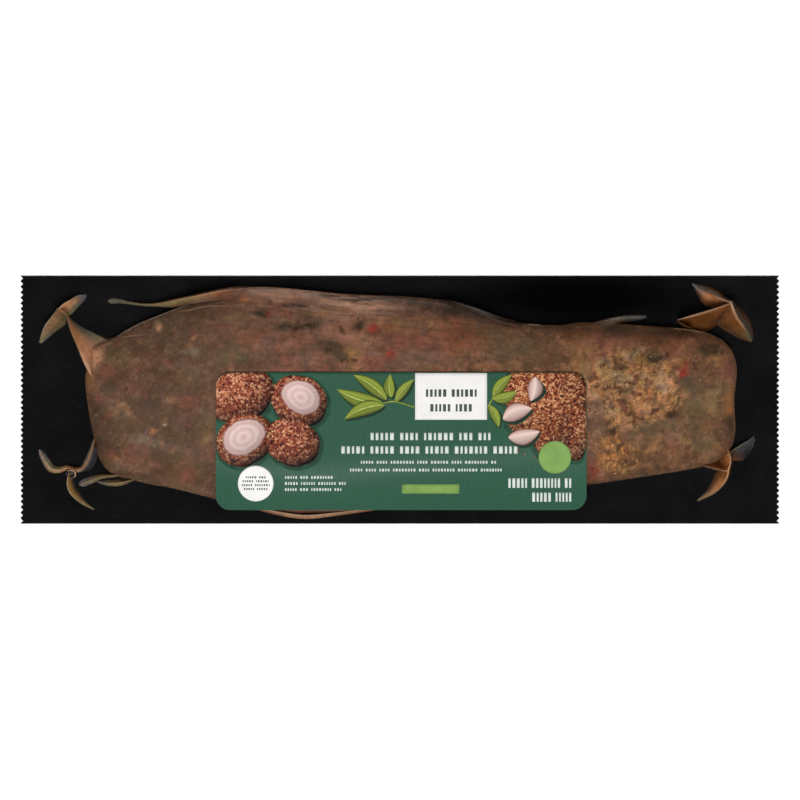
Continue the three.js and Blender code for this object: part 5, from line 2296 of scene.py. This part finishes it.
    def shaded_leaf(
        self, shells: tuple[Shell, Shell], leaf: tuple[Spot, Spot, float, float], shade: Box, layer: int
    ) -> None:
        """Adds a leaf and the shade under it.

        Args:
            shells: where the shade and the leaf go.
            leaf: its start, tip, width and bend.
            shade: how far the shade is moved in x and y, how much wider it is, and its layer.
            layer: which layer of print the leaf is on.
        """
        start, tip, width, bend = leaf
        dx, dy, wider, under = shade
        self.leaf(shells[0], np.add((start, tip), (dx, dy)), width + wider, bend, under)
        self.leaf(shells[1], (start, tip), width, bend, layer)

    def ribbon(self, shell: Shell, way: Line, width: float, layer: int) -> None:
        """Adds a thin printed line, such as a stalk.

        Args:
            shell: where it goes.
            way: its rows of x and y in mm.
            width: its width in mm.
            layer: which layer of print it is on.
        """
        line = smooth_line(way, 24)
        rows = [beside(line, side * width / 2) for side in (-1, 0, 1)]
        xy = np.stack(rows, axis=1).reshape(-1, 2)
        self.lay(shell, xy, grid_faces(len(line) - 1, 2), layer, np.full(len(xy), 0.1))

    @staticmethod
    def show(shell: Shell, name: str, ink: InkFinish) -> None:
        """Makes one ink's shapes and settles them."""
        settle(shell.mesh_object(name, ink.material()))

    def show_shade(self, shell: Shell, name: str) -> None:
        """Makes the dark green under a printed picture, softer at its rim, and settles it."""
        stops = ((0, (24, 44, 34)), (0.86, (26, 48, 37)), (0.93, (36, 68, 52)), (1, (45, 85, 66)))
        self.show(shell, name, InkFinish(name, stops, InkPattern.ACROSS, 3.0))

    def panel_and_badges(self) -> None:
        """Prints the plain white panel, the round badges and the light green bar."""
        white = InkFinish("label_white", ((0.3, (232, 230, 226)), (0.7, (242, 240, 237))), size=9)
        green = InkFinish("label_light_green", ((0.3, (116, 150, 76)), (0.7, (130, 164, 88))), size=5)
        shell = Shell()
        self.rectangle(shell, (7.0, -9.2, 40.2, 12.35), 2)
        self.round_field(shell, (-66.5, -38.6), 8.2, 4)
        self.show(shell, "label_white_fields", white)
        shell = Shell()
        self.round_field(shell, (71.5, -26.5), 7.5, 4)
        self.rectangle(shell, (1.0, -43.2, 27.4, -39.0), 1)
        self.show(shell, "label_green_fields", green)

    def word_bars(self) -> None:
        """Prints rows of plain bars where a label has its words."""
        draw = np.random.default_rng(6)
        light = InkFinish("label_bar_white", ((0.3, (206, 214, 208)), (0.7, (226, 231, 227))), size=4)
        dark = InkFinish("label_bar_grey", ((0.3, (62, 76, 70)), (0.7, (84, 96, 90))), size=4)

        def row(shell: Shell, box: Box, unit: float, layer: int) -> None:
            """Adds a row of upright bars in a box, each about unit wide, in groups like words.

            Args:
                shell: where they go.
                box: its left, lower, right and upper edges in mm.
                unit: a bar's width in mm.
                layer: which layer of print it is on.
            """
            x0, y0, x1, y1 = box
            at, left = x0, 5
            while at + 0.5 * unit < x1:
                wide = unit * draw.uniform(0.65, 1.2)
                self.rectangle(shell, (at, y0, min(at + wide, x1), y1), layer)
                left -= 1
                at += wide + (0.62 if left else 1.9) * unit
                left = left or int(draw.integers(3, 9))

        shell = Shell()
        for *box, unit in (
            (-13.5, -18.6, 42.0, -15.2, 1.5), (-27.0, -24.8, 55.0, -21.4, 1.5),
            (-18.0, -29.4, 45.0, -28.1, 0.85), (-23.0, -33.0, 49.0, -31.7, 0.85),
            (-53.0, -36.4, -30.0, -35.1, 0.8), (-53.0, -39.2, -25.0, -37.9, 0.8),
            (-53.0, -42.0, -27.0, -40.7, 0.8), (50.0, -40.6, 79.0, -36.2, 1.15),
            (61.0, -47.0, 79.0, -42.8, 1.15),
        ):
            row(shell, box, unit, 1)
        self.show(shell, "label_light_bars", light)
        shell = Shell()
        row(shell, (12.0, 1.4, 35.4, 4.8), 1.3, 3)
        row(shell, (14.0, -5.4, 33.4, -2.0), 1.3, 3)
        for low, reach in ((-36.2, 4.6), (-38.0, 6.0), (-39.8, 6.4), (-41.6, 5.4)):
            row(shell, (-66.5 - reach, low, -66.5 + reach, low + 0.9), 0.7, 5)
        self.show(shell, "label_dark_bars", dark)

    def oval(self, width: float, height: float, turn: float) -> np.ndarray:
        """The reach of a slightly lumpy ellipse, spoke by spoke.

        Args:
            width: half its length in mm.
            height: half its width in mm.
            turn: how far it is turned, in radians.

        Returns:
            One reach for each spoke.
        """
        angles = self.angles()
        smooth = 1 / np.hypot(np.cos(angles - turn) / width, np.sin(angles - turn) / height)
        return smooth * (1 + 0.02 * np.sin(3 * angles + turn) + 0.012 * np.sin(7 * angles))

    def onions(self) -> None:
        """Prints the cluster of whole and halved red onions at the left."""
        skin = InkFinish(
            "label_onion_skin",
            ((0.28, (58, 24, 26)), (0.42, (118, 50, 38)), (0.56, (160, 84, 52)), (0.74, (222, 168, 130))),
            InkPattern.GRANULES, 0.8, shading=1.0,
        )
        face = InkFinish(
            "label_onion_face",
            (
                (0.0, (200, 166, 158)), (0.25, (222, 196, 190)), (0.45, (206, 174, 166)),
                (0.6, (224, 200, 194)), (0.76, (202, 168, 160)), (0.88, (214, 186, 178)),
                (1.0, (160, 104, 92)),
            ),
            InkPattern.ACROSS, 2.2, shading=0.45,
        )
        shades, skins, faces = Shell(), Shell(), Shell()
        for x, y, width, height, turn, layer in (
            (-74.0, 2.5, 16, 13, 0.3, 2), (-46.5, -0.5, 13.5, 11.5, -0.5, 2),
            (-71.5, -18.5, 14, 11.5, 0.5, 3), (-50.0, -19.5, 13.5, 10.5, -0.35, 3),
        ):
            self.round_field(shades, (x + 0.7, y - 0.9), self.oval(width + 1.2, height + 1.2, turn), 1)
            self.round_field(skins, (x, y), self.oval(width, height, turn), layer)
        self.round_field(faces, (-72.0, -17.2), self.oval(10.6, 8.0, 0.5), 4)
        self.round_field(faces, (-45.6, 1.2), self.oval(9.6, 7.6, -0.5), 3)
        self.show_shade(shades, "label_onion_shade")
        self.show(skins, "label_onion_skins", skin)
        self.show(faces, "label_onion_faces", face)

    def spice_heap(self) -> None:
        """Prints the heap of ground spice at the right, with loose grains and garlic cloves."""
        spice = InkFinish(
            "label_spice",
            ((0.28, (56, 24, 20)), (0.42, (116, 54, 34)), (0.56, (158, 86, 50)), (0.74, (224, 172, 126))),
            InkPattern.GRANULES, 0.75, shading=0.8,
        )
        clove = InkFinish(
            "label_garlic",
            ((0, (222, 196, 186)), (0.5, (206, 178, 168)), (0.85, (184, 148, 138)), (1, (128, 84, 72))),
            InkPattern.ACROSS, 2.0, shading=0.5,
        )
        draw = np.random.default_rng(19)
        angles = self.angles()
        wavy = 1 + 0.06 * np.sin(5 * angles + 0.6) + 0.035 * np.sin(11 * angles)
        shades, heap, cloves = Shell(), Shell(), Shell()
        for x, y, reach in ((68.0, -1.0, 20.5), (75.0, -14.0, 14.5)):
            self.round_field(shades, (x - 0.6, y - 1.0), (reach + 1.2) * wavy, 1)
            self.round_field(heap, (x, y), reach * wavy, 2)
        for _ in range(54):
            angle = draw.uniform(math.pi * 0.6, math.pi * 1.5)
            out = 20.6 + abs(draw.normal(0, 3.6))
            x, y = 70 + out * math.cos(angle), -1 + out * math.sin(angle)
            size = draw.uniform(0.25, 0.6)
            if y < 11.6 and not (x < 57 and y > -14):
                self.rectangle(heap, (x - size, y - size * 0.6, x + size, y + size * 0.6), 2)
        for garlic in (
            ((47.5, -9.0), (61.0, -4.0), 8.2, 1.2),
            ((50.0, -17.5), (64.5, -14.6), 7.6, -1.0),
            ((62.5, 10.5), (60.4, -0.6), 7.4, 1.0),
        ):
            self.shaded_leaf((shades, cloves), garlic, (0.6, -0.9, 1.2, 3), 4)
        self.show_shade(shades, "label_spice_shade")
        self.show(heap, "label_spice_heap", spice)
        self.show(cloves, "label_garlic_cloves", clove)

    def leaves(self) -> None:
        """Prints the sprigs of narrow leaves on both sides of the panel."""
        ink = InkFinish(
            "label_leaf",
            (
                (0.0, (184, 192, 108)), (0.12, (112, 128, 44)), (0.55, (138, 150, 58)),
                (0.9, (98, 116, 42)), (1.0, (62, 80, 36)),
            ),
            InkPattern.ACROSS, 1.6, shading=0.5,
        )
        shades, shell = Shell(), Shell()
        sprigs = (
            ((-8.0, -1.5), (-29.0, 4.8), 7.4, 1.6), ((-6.0, 0.0), (-21.5, 11.4), 6.4, -1.2),
            ((-4.0, 1.0), (-4.5, 11.8), 5.6, 0.8), ((-7.0, -2.5), (-25.5, -9.0), 6.8, -1.8),
            ((-2.0, -1.0), (6.4, 9.4), 4.6, 0.8), ((43.0, 1.2), (51.6, 11.4), 5.4, 1.0),
            ((42.6, 0.4), (54.0, 4.0), 5.4, -1.2), ((41.0, -2.4), (45.6, -12.6), 4.6, 0.8),
        )
        for index, sprig in enumerate(sprigs):
            self.shaded_leaf((shades, shell), sprig, (0.5, -0.8, 0.8, 1), 3 + index % 4)
        self.ribbon(shell, ((-8, -1.6), (-3, -0.8), (6.8, -3.4)), 0.7, 7)
        self.ribbon(shell, ((40.4, -3.4), (41.6, -1.4), (43, 1.4)), 0.7, 7)
        self.show_shade(shades, "label_leaf_shade")
        self.show(shell, "label_leaves", ink)

    def build(self) -> None:
        """Makes the label and all its print."""
        self.sheet()
        self.panel_and_badges()
        self.onions()
        self.spice_heap()
        self.leaves()
        self.word_bars()


# The web and the studio


@dataclass
class BackingWeb:
    """The black web, whose CAD solid stays as it is."""

    node: str = "backing_web"
    finish: BlackWebFinish = BlackWebFinish()

    def dress(self) -> None:
        """Gives the CAD solid its finish."""
        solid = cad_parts[self.node]
        solid.data.materials.clear()
        solid.data.materials.append(self.finish.material())
        log.info("%s: finish set", self.node)


@dataclass(frozen=True)
class SoftLight:
    """A soft lamp that shines on the pack from far off."""

    name: str
    azimuth: float
    elevation: float
    strength: float
    angle: float

    def place(self) -> None:
        """Adds the lamp, turned towards the pack."""
        lamp = bpy.data.lights.new(self.name, "SUN")
        lamp.energy = self.strength
        lamp.angle = math.radians(self.angle)
        made = bpy.data.objects.new(self.name, lamp)
        turn, rise = math.radians(self.azimuth), math.radians(self.elevation)
        flat = math.cos(rise)
        towards = Vector((flat * math.sin(turn), flat * math.cos(turn), math.sin(rise)))
        made.rotation_euler = towards.to_track_quat("Z", "Y").to_euler()
        made.location = towards
        bpy.context.scene.collection.objects.link(made)


@dataclass
class Studio:
    """The pale floor, the soft light and the camera straight above."""

    view_width: float = 0.36890
    view_centre: tuple[float, float] = (0.00005, -0.00009)
    floor_side: float = 9000
    floor_level: float = -0.3
    sky_strength: float = 0.75
    sky_stops: tuple[tuple[float, float], ...] = ((0.0, 0.5), (0.45, 0.34), (0.8, 0.1), (1.0, 0.02))
    lights: tuple[SoftLight, ...] = (
        SoftLight("key", 186, 66, 3.35, 26), SoftLight("left_fill", 264, 38, 0.75, 34),
        SoftLight("right_fill", 96, 38, 0.75, 34), SoftLight("back_fill", 352, 40, 0.6, 34),
    )

    def floor(self) -> None:
        """Adds the floor, just under the pack."""
        paint = Paint("studio_floor")
        colour = paint.ramp(paint.noise(60, 2), [(0.3, (0.9, 0.9, 0.9, 1)), (0.7, (0.92, 0.92, 0.92, 1))])
        shader = paint.surface(0.1, Base_Color=colour, Roughness=0.85)
        side, level = self.floor_side, self.floor_level
        corners = [(-side, -side, level), (side, -side, level), (side, side, level), (-side, side, level)]
        shell = Shell()
        shell.add(np.array(corners), [(0, 1, 2, 3)])
        floor = shell.mesh_object("floor", paint.finish(shader))

    def sky(self) -> None:
        """Sets the room's own light: pale low down and dark straight above."""
        world = bpy.data.worlds.new("studio")
        world.use_nodes = True
        tree = world.node_tree
        tree.nodes.clear()
        place = tree.nodes.new("ShaderNodeTexCoord").outputs["Generated"]
        height = add_node(tree, "ShaderNodeSeparateXYZ", {0: place}).outputs["Z"]
        ramp = add_node(tree, "ShaderNodeValToRGB", {0: height})
        elements = ramp.color_ramp.elements
        elements.new(0.5)
        elements.new(0.8)
        for element, (at, value) in zip(elements, self.sky_stops):
            element.position = at
            element.color = (value, value, value * 1.01, 1)
        shine = {0: ramp.outputs[0], "Strength": self.sky_strength}
        light = add_node(tree, "ShaderNodeBackground", shine)
        add_node(tree, "ShaderNodeOutputWorld", {0: light.outputs[0]})
        bpy.context.scene.world = world

    def camera(self) -> None:
        """Adds the camera, looking straight down."""
        data = bpy.data.cameras.new("camera")
        data.type = "ORTHO"
        data.ortho_scale = self.view_width
        data.clip_end = 10
        made = bpy.data.objects.new("camera", data)
        made.location = (*self.view_centre, 1.0)
        bpy.context.scene.collection.objects.link(made)
        bpy.context.scene.camera = made

    def build(self) -> None:
        """Sets up the whole studio."""
        self.floor()
        self.sky()
        for light in self.lights:
            light.place()
        self.camera()
        bpy.context.scene.view_settings.view_transform = "Standard"


def write_sizes() -> None:
    """Updates the view layer once every piece is made."""
    bpy.context.view_layer.update()


def main() -> None:
    """Builds the pack round the frame, piece by piece."""
    logging.basicConfig(level=logging.INFO, format="%(name)s %(message)s")
    Studio().build()
    form = MeatForm()
    BackingWeb().dress()
    meat = Tenderloin(form).build()
    Rub().build(meat)
    TightFilm(form).build()
    FilmWrinkles(form).build()
    CornerFolds().build()
    PrintedLabel(form).build()
    write_sizes()


if __name__ == "__main__":
    main()
